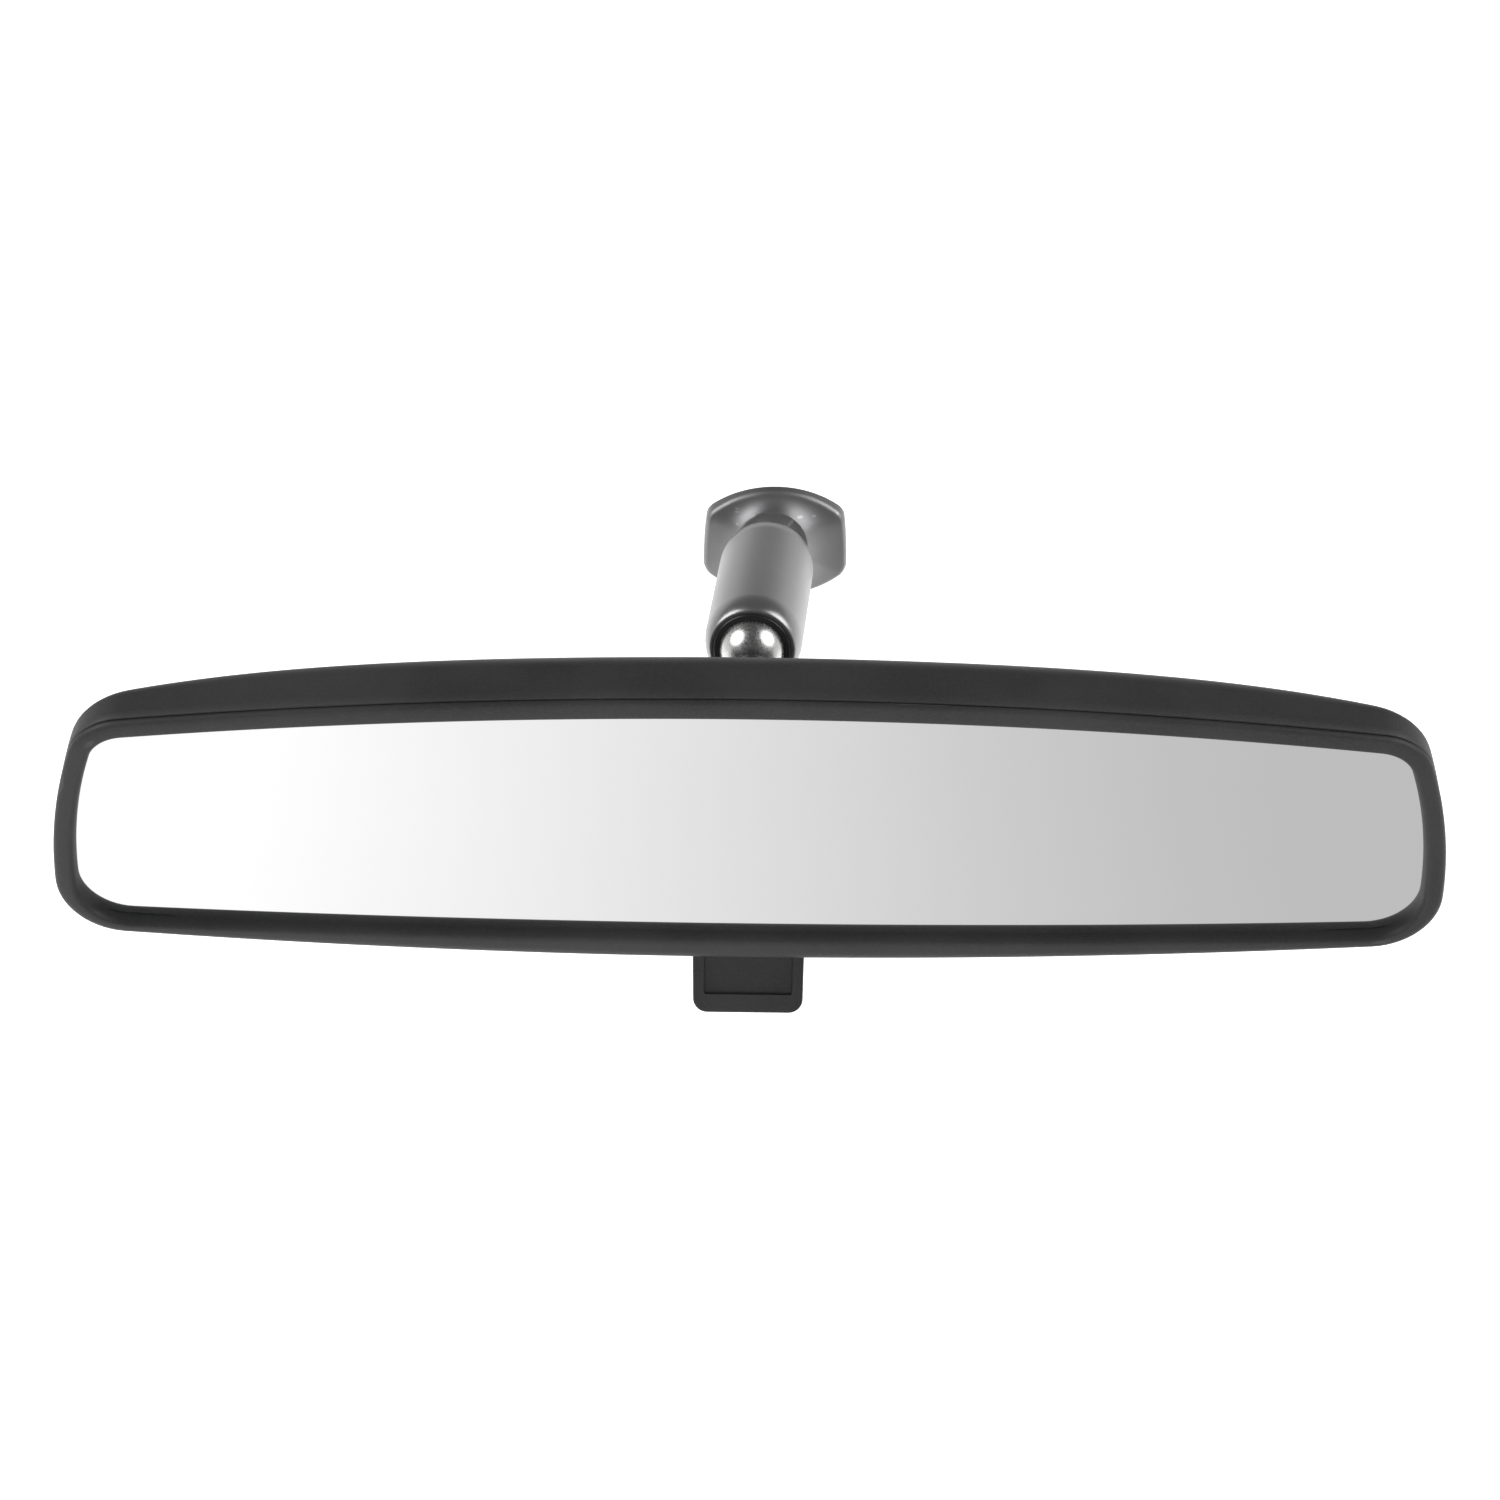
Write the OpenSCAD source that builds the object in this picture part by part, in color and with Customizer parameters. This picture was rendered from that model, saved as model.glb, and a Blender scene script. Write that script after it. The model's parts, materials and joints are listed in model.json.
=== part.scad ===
// Interior rearview mirror: a day/night prism head on a two-ball arm and a windscreen foot.
// Millimetres. The origin is the centre of the foot's back face. +Y points into the windscreen,
// +Z is up and +X is to the right of someone looking into the glass.

/* [Head] */
// Width of the head over the bezel
head_w = 265.6; // [220:0.2:320]
// Height of the head at its middle
head_h = 66; // [55:0.5:80]
// Radius of the arched top edge
top_arc_r = 1000; // [800:10:2000]
// Radius of the bowed bottom edge
bottom_arc_r = 1390; // [1000:10:3000]
// Radius of the bowed ends
end_arc_r = 110; // [90:1:200]
// Distance of the widest point below the middle of the head
widest_below = 18; // [8:1:24]
// Radius of the upper corners
top_corner_r = 12; // [8:0.5:16]
// Radius of the lower corners
bottom_corner_r = 13; // [8:0.5:16]

/* [Case] */
// Depth of the case behind the glass face
case_d = 21; // [19:0.5:28]
// Depth over which the case stays flat before it rounds over
case_flat_d = 8; // [5:0.5:10]
// How far in from the edge the rounding of the back reaches
case_round = 26; // [18:1:27]
// Share of the depth that the case loses towards its ends
end_taper = 0.6; // [0:0.05:0.7]
// Wall of the case
case_wall = 1.8; // [1.4:0.1:2.2]
// Radius of the hub on the back, around the ball stud
hub_r = 17.5; // [16:0.5:20]
// How far the hub stands behind the glass face
hub_d = 28; // [26:0.5:31]
// Radius of the hub's opening
hub_hole_r = 9; // [8.4:0.1:10]

/* [Bezel] */
// Width of the bezel's bead along the top
bezel_top = 4.2; // [3.5:0.1:6]
// Width of the bead at the ends
bezel_side = 4; // [3.5:0.1:6]
// Width of the bead along the bottom
bezel_bottom = 5.6; // [4.5:0.1:8]
// How far the bead stands in front of the glass
bezel_proud = 2.9; // [2:0.1:4]
// Thickness of the bezel's skirt inside the case
skirt_t = 0.8; // [0.6:0.1:1.2]

/* [Mirror glass] */
// Thickness of the glass prism at its top edge
glass_top_t = 5.4; // [4.4:0.1:6]
// Thickness of the glass prism at its bottom edge
glass_bottom_t = 2.2; // [1.8:0.1:3]
// Thickness of the silvering and its paint
silvering_t = 0.2; // [0.1:0.05:0.3]
// Thickness of the foam behind the silvering
foam_t = 1; // [0.5:0.1:1.2]

/* [Arm] */
// Diameter of both steel balls
ball_d = 13; // [10:0.1:16]
// Distance between the ball centres
ball_spacing = 42; // [35:0.5:60]
// Thickness of the plastic rings that the balls run in
liner_t = 1.6; // [1.2:0.1:2.4]
// Wall of the tube
tube_wall = 1.5; // [1:0.1:2.5]
// Angle that the tube droops towards the foot, degrees
tube_droop = 14.75; // [0:0.25:25]
// Angle that the tube swings right towards the foot, degrees
tube_swing = 4.25; // [0:0.25:15]
// Wire diameter of the spring in the tube
spring_wire = 1.8; // [1:0.1:2]
// Radius of the coil at the middle of the wire
spring_r = 4.2; // [3:0.1:5]

/* [Ball stud of the head] */
// Distance from the glass face back to the ball's centre
neck_len = 47.5; // [44:0.5:60]
// Height of the ball's centre above the middle of the glass
stud_rise = 4; // [0:0.5:6]
// Diameter of the studs' shanks
stud_d = 6; // [5:0.1:7]
// Radius of the carrier's neck where it meets the ball
neck_r = 4; // [3.8:0.1:4.4]

/* [Foot] */
// Width of the foot at its widest
foot_w = 30.4; // [28:0.2:38]
// Height of the foot at its middle
foot_h = 25; // [24:0.5:32]
// Radius of the foot's arched top
foot_top_arc_r = 21; // [19:0.5:26]
// Radius of the foot's rounded bottom
foot_bottom_arc_r = 22; // [16:0.5:30]
// Radius of the foot's bowed sides
foot_side_r = 90; // [60:5:200]
// Radius of the foot's corners
foot_corner_r = 4; // [2:0.5:6]
// Thickness of the foot at its top edge
foot_top_t = 3; // [2.4:0.1:4]
// Thickness of the foot at its bottom edge
foot_bottom_t = 7; // [6.6:0.1:8]
// Distance from the back face to the ball's centre, along the stud
foot_stud_len = 18.6; // [18:0.2:24]
// Angle that the stud rises from the foot, degrees
stud_rake = 19; // [10:0.5:30]
// Angle that the stud leans left from the foot, degrees
stud_swing = 5.2; // [0:0.1:10]
// Width of the button channel at its mouth
channel_w = 19; // [17:0.5:22]
// Depth of the button channel
channel_d = 4.8; // [4.2:0.1:5]
// Diameter of the set screw
set_screw_d = 5; // [4:0.5:5]

/* [Day and night lever] */
// Width of the lever's tab at its root
tab_w = 22; // [16:0.5:26]
// Length of the tab from its axle to its tip
tab_len = 26.2; // [23:0.1:34]
// Thickness of the tab
tab_t = 3; // [2.4:0.1:3.4]
// Angle between the lever's two positions, degrees
lever_flip = 42; // [36:1:44]
// Angle that the tab leans forward in the night position, degrees
tab_lean = 30; // [24:1:34]
// Radius from the lever's axle to its crank pin
crank_r = 3.6; // [3.4:0.1:4]
// Diameter of the axles
axle_d = 3; // [2.5:0.1:3.2]
// Diameter of the crank pin
crank_pin_d = 2.8; // [2.4:0.1:3]
// Height of the lever's axle above the inside of the case's lower wall
lever_axle_up = 6.2; // [5.8:0.1:8]
// Height of the tilt axle above the middle of the glass
tilt_axle_up = 16; // [12:0.5:18]

/* [Fits] */
// Radial clearance of what turns
running_gap = 0.05; // [0.03:0.01:0.1]
// Radial clearance of what is pressed or riveted in
press_gap = 0.02; // [0.01:0.01:0.04]
// Gap between parts that are assembled against each other
seat_gap = 0.1; // [0.05:0.05:0.2]
// Play between the crank pin and its slot
slot_play = 0.15; // [0.1:0.01:0.2]

/* [Hidden] */
$fn = 64;

black_plastic = [0.07, 0.07, 0.075];
black_paint = [0.14, 0.14, 0.15];
bright_steel = [0.75, 0.76, 0.78];
zinc_plate = [0.6, 0.6, 0.58];

// ---- Places ----
ball_r = ball_d / 2;
stud_r = stud_d / 2;
axle_r = axle_d / 2;
half_h = head_h / 2;
stud_dir = [-sin(stud_swing) * cos(stud_rake), -cos(stud_swing) * cos(stud_rake), sin(stud_rake)];
arm_dir = [sin(tube_swing) * cos(tube_droop), cos(tube_swing) * cos(tube_droop), -sin(tube_droop)];
foot_ball = foot_stud_len * stud_dir;
head_ball = foot_ball - ball_spacing * arm_dir;
head_origin = head_ball - [0, neck_len, stud_rise];

// Head frame: origin at the middle of the glass face, +Y towards the windscreen
module in_head() { translate(head_origin) children(); }
// Stud frame of the foot: origin at the back face's centre, +Z along the stud
module along_foot_stud() { rotate([90 - stud_rake, 0, -stud_swing]) children(); }
// Arm frame: origin at the head's ball, +Z towards the foot's ball
module along_arm() { translate(head_ball) rotate([-90 - tube_droop, 0, -tube_swing]) children(); }
// The foot's end of the arm: origin at the foot's ball, +Z towards the head's ball
module at_arm_foot_end() { along_arm() translate([0, 0, ball_spacing]) rotate([180, 0, 0]) children(); }
// A stack built along +Z, laid along +Y
module along_y() { rotate([-90, 0, 0]) children(); }
// A bar built along +Z and centred, laid along X
module along_x() { rotate([0, 90, 0]) children(); }

// A box from its low corner to its high corner
module box(low, high) { translate(low) cube(high - low); }
// The same on both sides of the middle
module both_sides() { children(); mirror([1, 0, 0]) children(); }

// ---- Outlines ----
edge_steps = 8;
corner_steps = 6;
end_steps = 5;

function heading(v) = atan2(v[1], v[0]);
function arc_points(c, r, from, to, steps, first) =
    [for (i = [first : steps]) let (a = from + (to - from) * i / steps) c + r * [cos(a), sin(a)]];
// Where two circles meet, on the left (1) or the right (-1) of the way from a to b
function circles_meet(a, ra, b, rb, side) =
    let (way = b - a, n = norm(way), u = way / n, along = (ra * ra - rb * rb + n * n) / (2 * n))
    a + along * u + side * sqrt(ra * ra - along * along) * [-u[1], u[0]];

// An outline is three bowed edges joined by round corners:
// [top height, top radius, half width, end radius, end centre height, bottom height, bottom radius,
//  upper corner radius, lower corner radius]. grow moves it outwards.
function half_outline(s, grow) =
    let (top_c = [0, s[0] - s[1]], end_c = [s[2] - s[3], s[4]], bottom_c = [0, s[5] + s[6]],
        upper = circles_meet(top_c, s[1] - s[7], end_c, s[3] - s[7], -1),
        lower = circles_meet(bottom_c, s[6] - s[8], end_c, s[3] - s[8], 1))
    concat(
        arc_points(top_c, s[1] + grow, 90, heading(upper - top_c), edge_steps, 0),
        arc_points(upper, s[7] + grow, heading(upper - top_c), heading(upper - end_c), corner_steps, 1),
        arc_points(end_c, s[3] + grow, heading(upper - end_c), heading(lower - end_c), end_steps, 1),
        arc_points(lower, s[8] + grow, heading(lower - end_c), heading(lower - bottom_c), corner_steps, 1),
        arc_points(bottom_c, s[6] + grow, heading(lower - bottom_c), -90, edge_steps, 1));
function outline(s, grow) =
    let (h = half_outline(s, grow), n = len(h)) concat(h, [for (i = [n - 2 : -1 : 1]) [-h[i][0], h[i][1]]]);

head_outline = [half_h, top_arc_r, head_w / 2, end_arc_r, -widest_below, -half_h, bottom_arc_r,
    top_corner_r, bottom_corner_r];
opening_top_arc_r = top_arc_r + 60;
opening_bottom_arc_r = 2.3 * bottom_arc_r;
opening_outline = [half_h - bezel_top, opening_top_arc_r, head_w / 2 - bezel_side,
    end_arc_r - bezel_side, -widest_below, bezel_bottom - half_h, opening_bottom_arc_r,
    top_corner_r - bezel_side, bottom_corner_r - bezel_side + 1];

// A prism of an outline from one depth to another
module outline_prism(s, grow, from_y, to_y) {
    translate([0, to_y, 0]) rotate([90, 0, 0]) linear_extrude(to_y - from_y) polygon(outline(s, grow));
}

// A skin over rings of points that run clockwise seen from the front, the front ring first
module loft(rings) {
    n = len(rings[0]);
    last = (len(rings) - 1) * n;
    half = n / 2;
    sides = [for (j = [0 : len(rings) - 2], i = [0 : n - 1])
        let (a = j * n + i, b = j * n + (i + 1) % n) each [[a, a + n, b + n], [a, b + n, b]]];
    right = [for (i = [0 : (half - 1) / 2 - 1]) each [[i, i + 1, half - i - 1], [i, half - i - 1, half - i]]];
    left = [for (t = right) [(n - t[0]) % n, (n - t[2]) % n, (n - t[1]) % n]];
    back = [for (t = concat(right, left)) [last + t[0], last + t[2], last + t[1]]];
    polyhedron([for (ring = rings, p = ring) p], concat(right, left, back, sides));
}

// ---- Foot ----
foot_widest_below = 5;
foot_outline = [foot_h / 2, foot_top_arc_r, foot_w / 2, foot_side_r, -foot_widest_below,
    -foot_h / 2, foot_bottom_arc_r, foot_corner_r, foot_corner_r];
foot_slab_t = 2.2;
foot_step = 0.15;
foot_neck_s = foot_stud_len - ball_r - 3;
foot_neck_r = 7.6;
foot_cone_r = 3.8;
foot_cone_tip_r = 3.1;
stud_back_gap = 0.3;
foot_loft_steps = 6;
set_screw_z = -foot_h / 2 + 4.6;
set_screw_boss_r = set_screw_d / 2 + 1.7;
set_screw_boss_y = -channel_d - 4.4;
set_screw_len = 4;
set_screw_hex_d = 2.4;
set_screw_hex_r = 0.29 * set_screw_d;
channel_round_z = -1;
channel_undercut = 1.2;

// Points of the foot's front edge, which stands further forward towards the bottom
function foot_edge_points() = [for (p = outline(foot_outline, -foot_step))
    [p[0], -foot_top_t - (foot_bottom_t - foot_top_t) * (0.5 - p[1] / foot_h), p[1]]];
// A point of the round neck, square to the stud, on the side that v points to
function foot_neck_point(v) =
    let (side = [cos(stud_swing), -sin(stud_swing), 0], up = cross(stud_dir, side))
    foot_neck_s * stud_dir + foot_neck_r * (cos(heading(v)) * side + sin(heading(v)) * up);
// Rings from the edge (t = 0) to the neck (t = 1), a little hollow on the way
function foot_ring(t) = [for (p = foot_edge_points())
    let (q = foot_neck_point([p[0], p[2]]), inward = (t + sin(90 * t)) / 2, out = (t + 1 - cos(90 * t)) / 2)
    [p[0] + (q[0] - p[0]) * inward, p[1] + (q[1] - p[1]) * out, p[2] + (q[2] - p[2]) * inward]];
function foot_back_ring() = [for (p = outline(foot_outline, -foot_step)) [p[0], -foot_slab_t / 2, p[1]]];

module button_channel() {
    mouth_half = channel_w / 2;
    deep_half = mouth_half + channel_undercut;
    past = 0.01;
    translate([0, 0, channel_round_z - foot_h]) linear_extrude(foot_h)
        polygon([[-mouth_half, past], [mouth_half, past], [deep_half, -channel_d], [-deep_half, -channel_d]]);
    translate([0, past, channel_round_z]) rotate([90, 0, 0])
        cylinder(h = channel_d + past, r1 = mouth_half, r2 = deep_half);
}

module mount_foot() {
    color(black_paint) difference() {
        union() {
            outline_prism(foot_outline, 0, -foot_slab_t, 0);
            loft(concat([for (k = [0 : foot_loft_steps]) foot_ring(1 - k / foot_loft_steps)],
                [foot_back_ring()]));
            translate([0, 0, set_screw_z]) rotate([90, 0, 0]) translate([0, 0, foot_bottom_t - 1])
                cylinder(h = -set_screw_boss_y - foot_bottom_t + 1, r = set_screw_boss_r);
        }
        button_channel();
        along_foot_stud() cylinder(h = foot_stud_len, r = stud_r + press_gap);
        translate([0, 0, set_screw_z]) rotate([90, 0, 0])
            cylinder(h = 3 * foot_bottom_t, r = set_screw_d / 2 + press_gap);
    }
}

module foot_set_screw() {
    color(bright_steel) translate([0, -channel_d - seat_gap, set_screw_z]) rotate([90, 0, 0]) difference() {
        cylinder(h = set_screw_len, r = set_screw_d / 2);
        translate([0, 0, set_screw_len - set_screw_hex_d])
            cylinder(h = set_screw_hex_d + 1, r = set_screw_hex_r, $fn = 6);
    }
}

module foot_ball_stud() {
    color(bright_steel) difference() {
        along_foot_stud() union() {
            translate([0, 0, foot_stud_len]) sphere(r = ball_r);
            cylinder(h = foot_stud_len, r = stud_r);
            translate([0, 0, foot_neck_s])
                cylinder(h = foot_stud_len - foot_neck_s, r1 = foot_cone_r, r2 = foot_cone_tip_r);
        }
        box([-foot_w, -channel_d - stud_back_gap, -foot_h], [foot_w, foot_h, foot_h]);
    }
}

// ---- Arm ----
ring_in_r = ball_r + running_gap;
ring_out_r = ring_in_r + liner_t;
tube_in_r = ring_out_r + running_gap;
tube_r = tube_in_r + tube_wall;
tube_mouth_z = -0.8;
tube_mouth_r = tube_in_r - 0.1;
mouth_lip_t = 0.4;
mouth_hole_r = tube_mouth_r - mouth_lip_t;
shoulder_z = 0.4;
swage_len = 5.4;
ring_lip_z = -1;
ring_back_z = 1.5;
seat_in_r = ball_r + seat_gap;
seat_out_r = ring_out_r - running_gap - seat_gap;
seat_edge_z = 0.86 * ball_r;

// The plastic ring between a ball and the tube's mouth: its lip holds the ball in front of its
// widest place, and its flange bears on the shoulder inside the mouth
module ball_ring() {
    flange_z = shoulder_z + running_gap;
    color(black_plastic) difference() {
        union() {
            translate([0, 0, ring_lip_z])
                cylinder(h = ring_back_z - ring_lip_z, r = mouth_hole_r - running_gap);
            translate([0, 0, flange_z]) cylinder(h = ring_back_z - flange_z, r = ring_out_r);
        }
        sphere(r = ring_in_r);
    }
}

// The cupped seat between a ball and the spring
module spring_seat() {
    color(zinc_plate) intersection() {
        difference() { sphere(r = seat_out_r); sphere(r = seat_in_r); }
        translate([0, 0, seat_edge_z]) cylinder(h = tube_r, r = tube_r);
    }
}

module head_ball_ring() { along_arm() ball_ring(); }
module foot_ball_ring() { at_arm_foot_end() ball_ring(); }
module head_spring_seat() { along_arm() spring_seat(); }
module foot_spring_seat() { at_arm_foot_end() spring_seat(); }

// Radius and place of the tube's outside, from its mouth (t = 0) round to its full width (t = 1)
swage_steps = 8;
function swage_point(t) =
    [tube_mouth_r + (tube_r - tube_mouth_r) * sin(90 * t), tube_mouth_z + swage_len * (1 - cos(90 * t))];

module arm_tube() {
    near_end = [for (k = [0 : swage_steps]) swage_point(k / swage_steps)];
    far_end = [for (k = [swage_steps : -1 : 0]) [near_end[k][0], ball_spacing - near_end[k][1]]];
    color(black_paint) along_arm() difference() {
        rotate_extrude() polygon(concat([[0, tube_mouth_z]], near_end, far_end,
            [[0, ball_spacing - tube_mouth_z]]));
        translate([0, 0, shoulder_z]) cylinder(h = ball_spacing - 2 * shoulder_z, r = tube_in_r);
        translate([0, 0, tube_mouth_z - 1])
            cylinder(h = ball_spacing - 2 * tube_mouth_z + 2, r = mouth_hole_r);
    }
}

// A round-wire coil along +Z whose end turns lie flat
spring_turns = 7;
spring_turn_steps = 16;
wire_sides = 8;
spring_seat_z = sqrt(pow(seat_out_r + spring_wire / 2 + seat_gap, 2) - pow(spring_r, 2));
spring_end_turns = 0.8;
function spring_z(turn) =
    let (t = min(max((turn - spring_end_turns) / (spring_turns - 2 * spring_end_turns), 0), 1))
    spring_seat_z + (ball_spacing - 2 * spring_seat_z) * t;
function wire_point(turn, k) =
    let (a = 360 * turn, b = 360 * k / wire_sides, r = spring_r + spring_wire / 2 * cos(b))
    [r * cos(a), r * sin(a), spring_z(turn) + spring_wire / 2 * sin(b)];

module arm_spring() {
    steps = spring_turns * spring_turn_steps;
    w = wire_sides;
    points = [for (j = [0 : steps], k = [0 : w - 1]) wire_point(j / spring_turn_steps, k)];
    sides = [for (j = [0 : steps - 1], k = [0 : w - 1])
        let (a = j * w + k, b = j * w + (k + 1) % w) each [[a, b, b + w], [a, b + w, a + w]]];
    ends = [[for (k = [w - 1 : -1 : 0]) k], [for (k = [0 : w - 1]) steps * w + k]];
    color(bright_steel) along_arm() polyhedron(points, concat(sides, ends));
}

// ---- Inside the head: depths and heights in the head frame ----
bracket_y = 8;
bracket_t = 1.6;
bracket_back_y = bracket_y + bracket_t;
tilt_axle_off = 3.9;
lever_axle_y = 10;
tilt_axle = [0, bracket_back_y + tilt_axle_off, tilt_axle_up];
lever_axle_at = [0, lever_axle_y, case_wall + lever_axle_up - half_h];
half_flip = lever_flip / 2;
crank_pin_at = lever_axle_at + crank_r * [0, sin(half_flip), cos(half_flip)];

// ---- Ball stud and carrier ----
stud_end_y = 11.9;
nut_r = 5.4;
nut_t = 0.8;
nut_back_y = 13.2;
carrier_half_w = 9.5;
carrier_y = 11.4;
carrier_t = 4;
carrier_knuckle_r = 3.4;
carrier_knuckle_half = 11.6;
carrier_root_r = 9;
fork_half_w = 3.4;
fork_top_up = 11;
fork_prong_t = 1.7;
fork_tip_up = 2.2;
fork_root = 2;
slot_half = crank_pin_d / 2 + slot_play;
slot_over = 0.8;
nut_play = 0.4;

// Laid along +Y at the height of the stud
module along_head_stud() { in_head() translate([0, 0, stud_rise]) along_y() children(); }

module head_ball_stud() {
    color(bright_steel) along_head_stud() union() {
        translate([0, 0, neck_len]) sphere(r = ball_r);
        translate([0, 0, stud_end_y]) cylinder(h = neck_len - stud_end_y, r = stud_r);
    }
}

module stud_push_nut() {
    color(zinc_plate) along_head_stud() translate([0, 0, nut_back_y - nut_t]) difference() {
        cylinder(h = nut_t, r = nut_r);
        translate([0, 0, -1]) cylinder(h = nut_t + 2, r = stud_r + press_gap);
    }
}

module ball_carrier() {
    fork_z = lever_axle_at[2];
    neck_end = neck_len - ball_r - seat_gap;
    carrier_back = carrier_y + carrier_t;
    color(black_plastic) difference() {
        union() {
            in_head() translate(tilt_axle) along_x()
                cylinder(h = 2 * carrier_knuckle_half, r = carrier_knuckle_r, center = true);
            in_head() box([-carrier_half_w, carrier_y, fork_z + fork_top_up],
                [carrier_half_w, carrier_back, tilt_axle_up]);
            in_head() box([-fork_half_w, crank_pin_at[1] - slot_half - fork_prong_t, fork_z + fork_tip_up],
                [fork_half_w, crank_pin_at[1] + slot_half + fork_prong_t, fork_z + fork_top_up + fork_root]);
            along_head_stud() translate([0, 0, carrier_back - 1])
                cylinder(h = neck_end - carrier_back + 1, r1 = carrier_root_r, r2 = neck_r);
        }
        in_head() translate(tilt_axle) along_x()
            cylinder(h = 3 * carrier_knuckle_half, r = axle_r + running_gap, center = true);
        in_head() box([-2 * fork_half_w, crank_pin_at[1] - slot_half, fork_z - 1],
            [2 * fork_half_w, crank_pin_at[1] + slot_half, crank_pin_at[2] + slot_over]);
        in_head() translate([0, crank_pin_at[1], crank_pin_at[2] + slot_over]) along_x()
            cylinder(h = 4 * fork_half_w, r = slot_half, center = true);
        along_head_stud() cylinder(h = neck_len, r = stud_r + press_gap);
        along_head_stud() cylinder(h = nut_back_y, r = nut_r + nut_play);
    }
}

// ---- Case ----
rim_y = -0.8;
case_turns = [0, 15, 30, 45, 60, 75, 90];
screw_boss_r = 3.2;
screw_r = 1.43;
screw_grip = 0.02;
screw_hole_play = 0.32;
screw_x = 24;
screw_z = half_h - 18;
screw_depth = 7;
hub_wall = 2;
hub_foot_r = hub_r + 1.5;
lever_slot_half = tab_w / 2 + 0.7;
lever_slot_front = 2.4;
lever_slot_back = 14;

// Share of the full depth that the case has at a place along its width
function depth_share(x) = 1 - end_taper * pow(abs(x) / (head_w / 2), 5);
// Depth of the back at a height in the middle of the case
function back_y(z) =
    case_flat_d + (case_d - case_flat_d) * sqrt(1 - pow(1 - min((half_h - abs(z)) / case_round, 1), 2));
// A ring of the rounded case: turn runs from 0 where the side ends to 90 at the flat of the back
function case_ring(inset, turn) =
    let (in_x = 1 - case_round / (head_w / 2) * (1 - cos(turn)),
        in_z = 1 - case_round / half_h * (1 - cos(turn)),
        depth = case_flat_d + (case_d - case_flat_d) * sin(turn))
    [for (p = outline(head_outline, -inset)) let (x = p[0] * in_x)
        [x, depth_share(x) * depth - inset * sin(turn), p[1] * in_z]];
function flat_ring(inset, y) = [for (p = outline(head_outline, -inset)) [p[0], y, p[1]]];
function case_rings(inset, front_y) =
    concat([flat_ring(inset, front_y)], [for (t = case_turns) case_ring(inset, t)]);

module hub(r, foot_r, from_y, to_y) {
    translate([0, 0, stud_rise - 1]) along_y() translate([0, 0, from_y])
        cylinder(h = to_y - from_y, r1 = foot_r, r2 = r - 3);
}

module case_shell() {
    back = back_y(screw_z);
    boss_end = back - case_wall / 2;
    color(black_plastic) in_head() difference() {
        union() {
            difference() {
                union() {
                    loft(case_rings(0, rim_y));
                    hub(hub_r, hub_foot_r, case_flat_d + 6, hub_d);
                }
                loft(case_rings(case_wall, rim_y - 1));
                hub(hub_r - hub_wall, hub_foot_r - hub_wall, case_flat_d + 3, hub_d - hub_wall);
            }
            for (x = [-screw_x, screw_x], z = [-screw_z, screw_z])
                translate([x, bracket_back_y, z]) along_y()
                    cylinder(h = boss_end - bracket_back_y, r = screw_boss_r);
        }
        for (x = [-screw_x, screw_x], z = [-screw_z, screw_z])
            translate([x, bracket_back_y - 1, z]) along_y()
                cylinder(h = screw_depth + 1.5, r = screw_r + screw_grip);
        translate([0, 0, stud_rise - 0.5]) along_y() cylinder(h = 2 * hub_d, r = hub_hole_r);
        box([-lever_slot_half, lever_slot_front, -half_h - 1],
            [lever_slot_half, lever_slot_back, lever_axle_at[2] - 1]);
    }
}

// ---- Bezel, glass and its backing ----
bead_back_y = -1.2;
glass_face_y = 0;
skirt_out = case_wall + seat_gap;
skirt_in = skirt_out + skirt_t;
// The skirt stops before the case's thin ends start to round over
skirt_d = case_flat_d * (1 - end_taper) - 0.4;
glass_inset = skirt_in + seat_gap;
prism_angle = atan((glass_top_t - glass_bottom_t) / (head_h - 2 * glass_inset));
prism_mid_t = (glass_top_t + glass_bottom_t) / 2;
foam_inset = glass_inset + 2;

module front_bezel() {
    color(black_plastic) in_head() difference() {
        union() {
            outline_prism(head_outline, 0, -bezel_proud, bead_back_y);
            outline_prism(head_outline, -skirt_out, bead_back_y - 0.5, skirt_d);
        }
        outline_prism(opening_outline, 0, -bezel_proud - 1, skirt_d);
        outline_prism(head_outline, -skirt_in, glass_face_y - 0.05, skirt_d + 1);
        box([-lever_slot_half - 1, 0.6, -half_h], [lever_slot_half + 1, skirt_d + 1, -half_h / 2]);
    }
}

// A sheet parallel to the back of the prism, from one depth to another, cut to the glass's outline
module behind_prism(inset, from_y, to_y) {
    intersection() {
        outline_prism(head_outline, -inset, glass_face_y, case_d);
        translate([0, prism_mid_t, 0]) rotate([-prism_angle, 0, 0])
            box([-head_w, from_y, -head_h], [head_w, to_y, head_h]);
    }
}

module mirror_glass() {
    color([0.75, 0.8, 0.82]) in_head() behind_prism(glass_inset, -case_d, 0);
}
module mirror_silvering() {
    color([0.85, 0.86, 0.88]) in_head() behind_prism(glass_inset, 0, silvering_t);
}
module glass_foam() {
    color([0.25, 0.25, 0.26]) in_head() behind_prism(foam_inset, silvering_t, silvering_t + foam_t);
}

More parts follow.
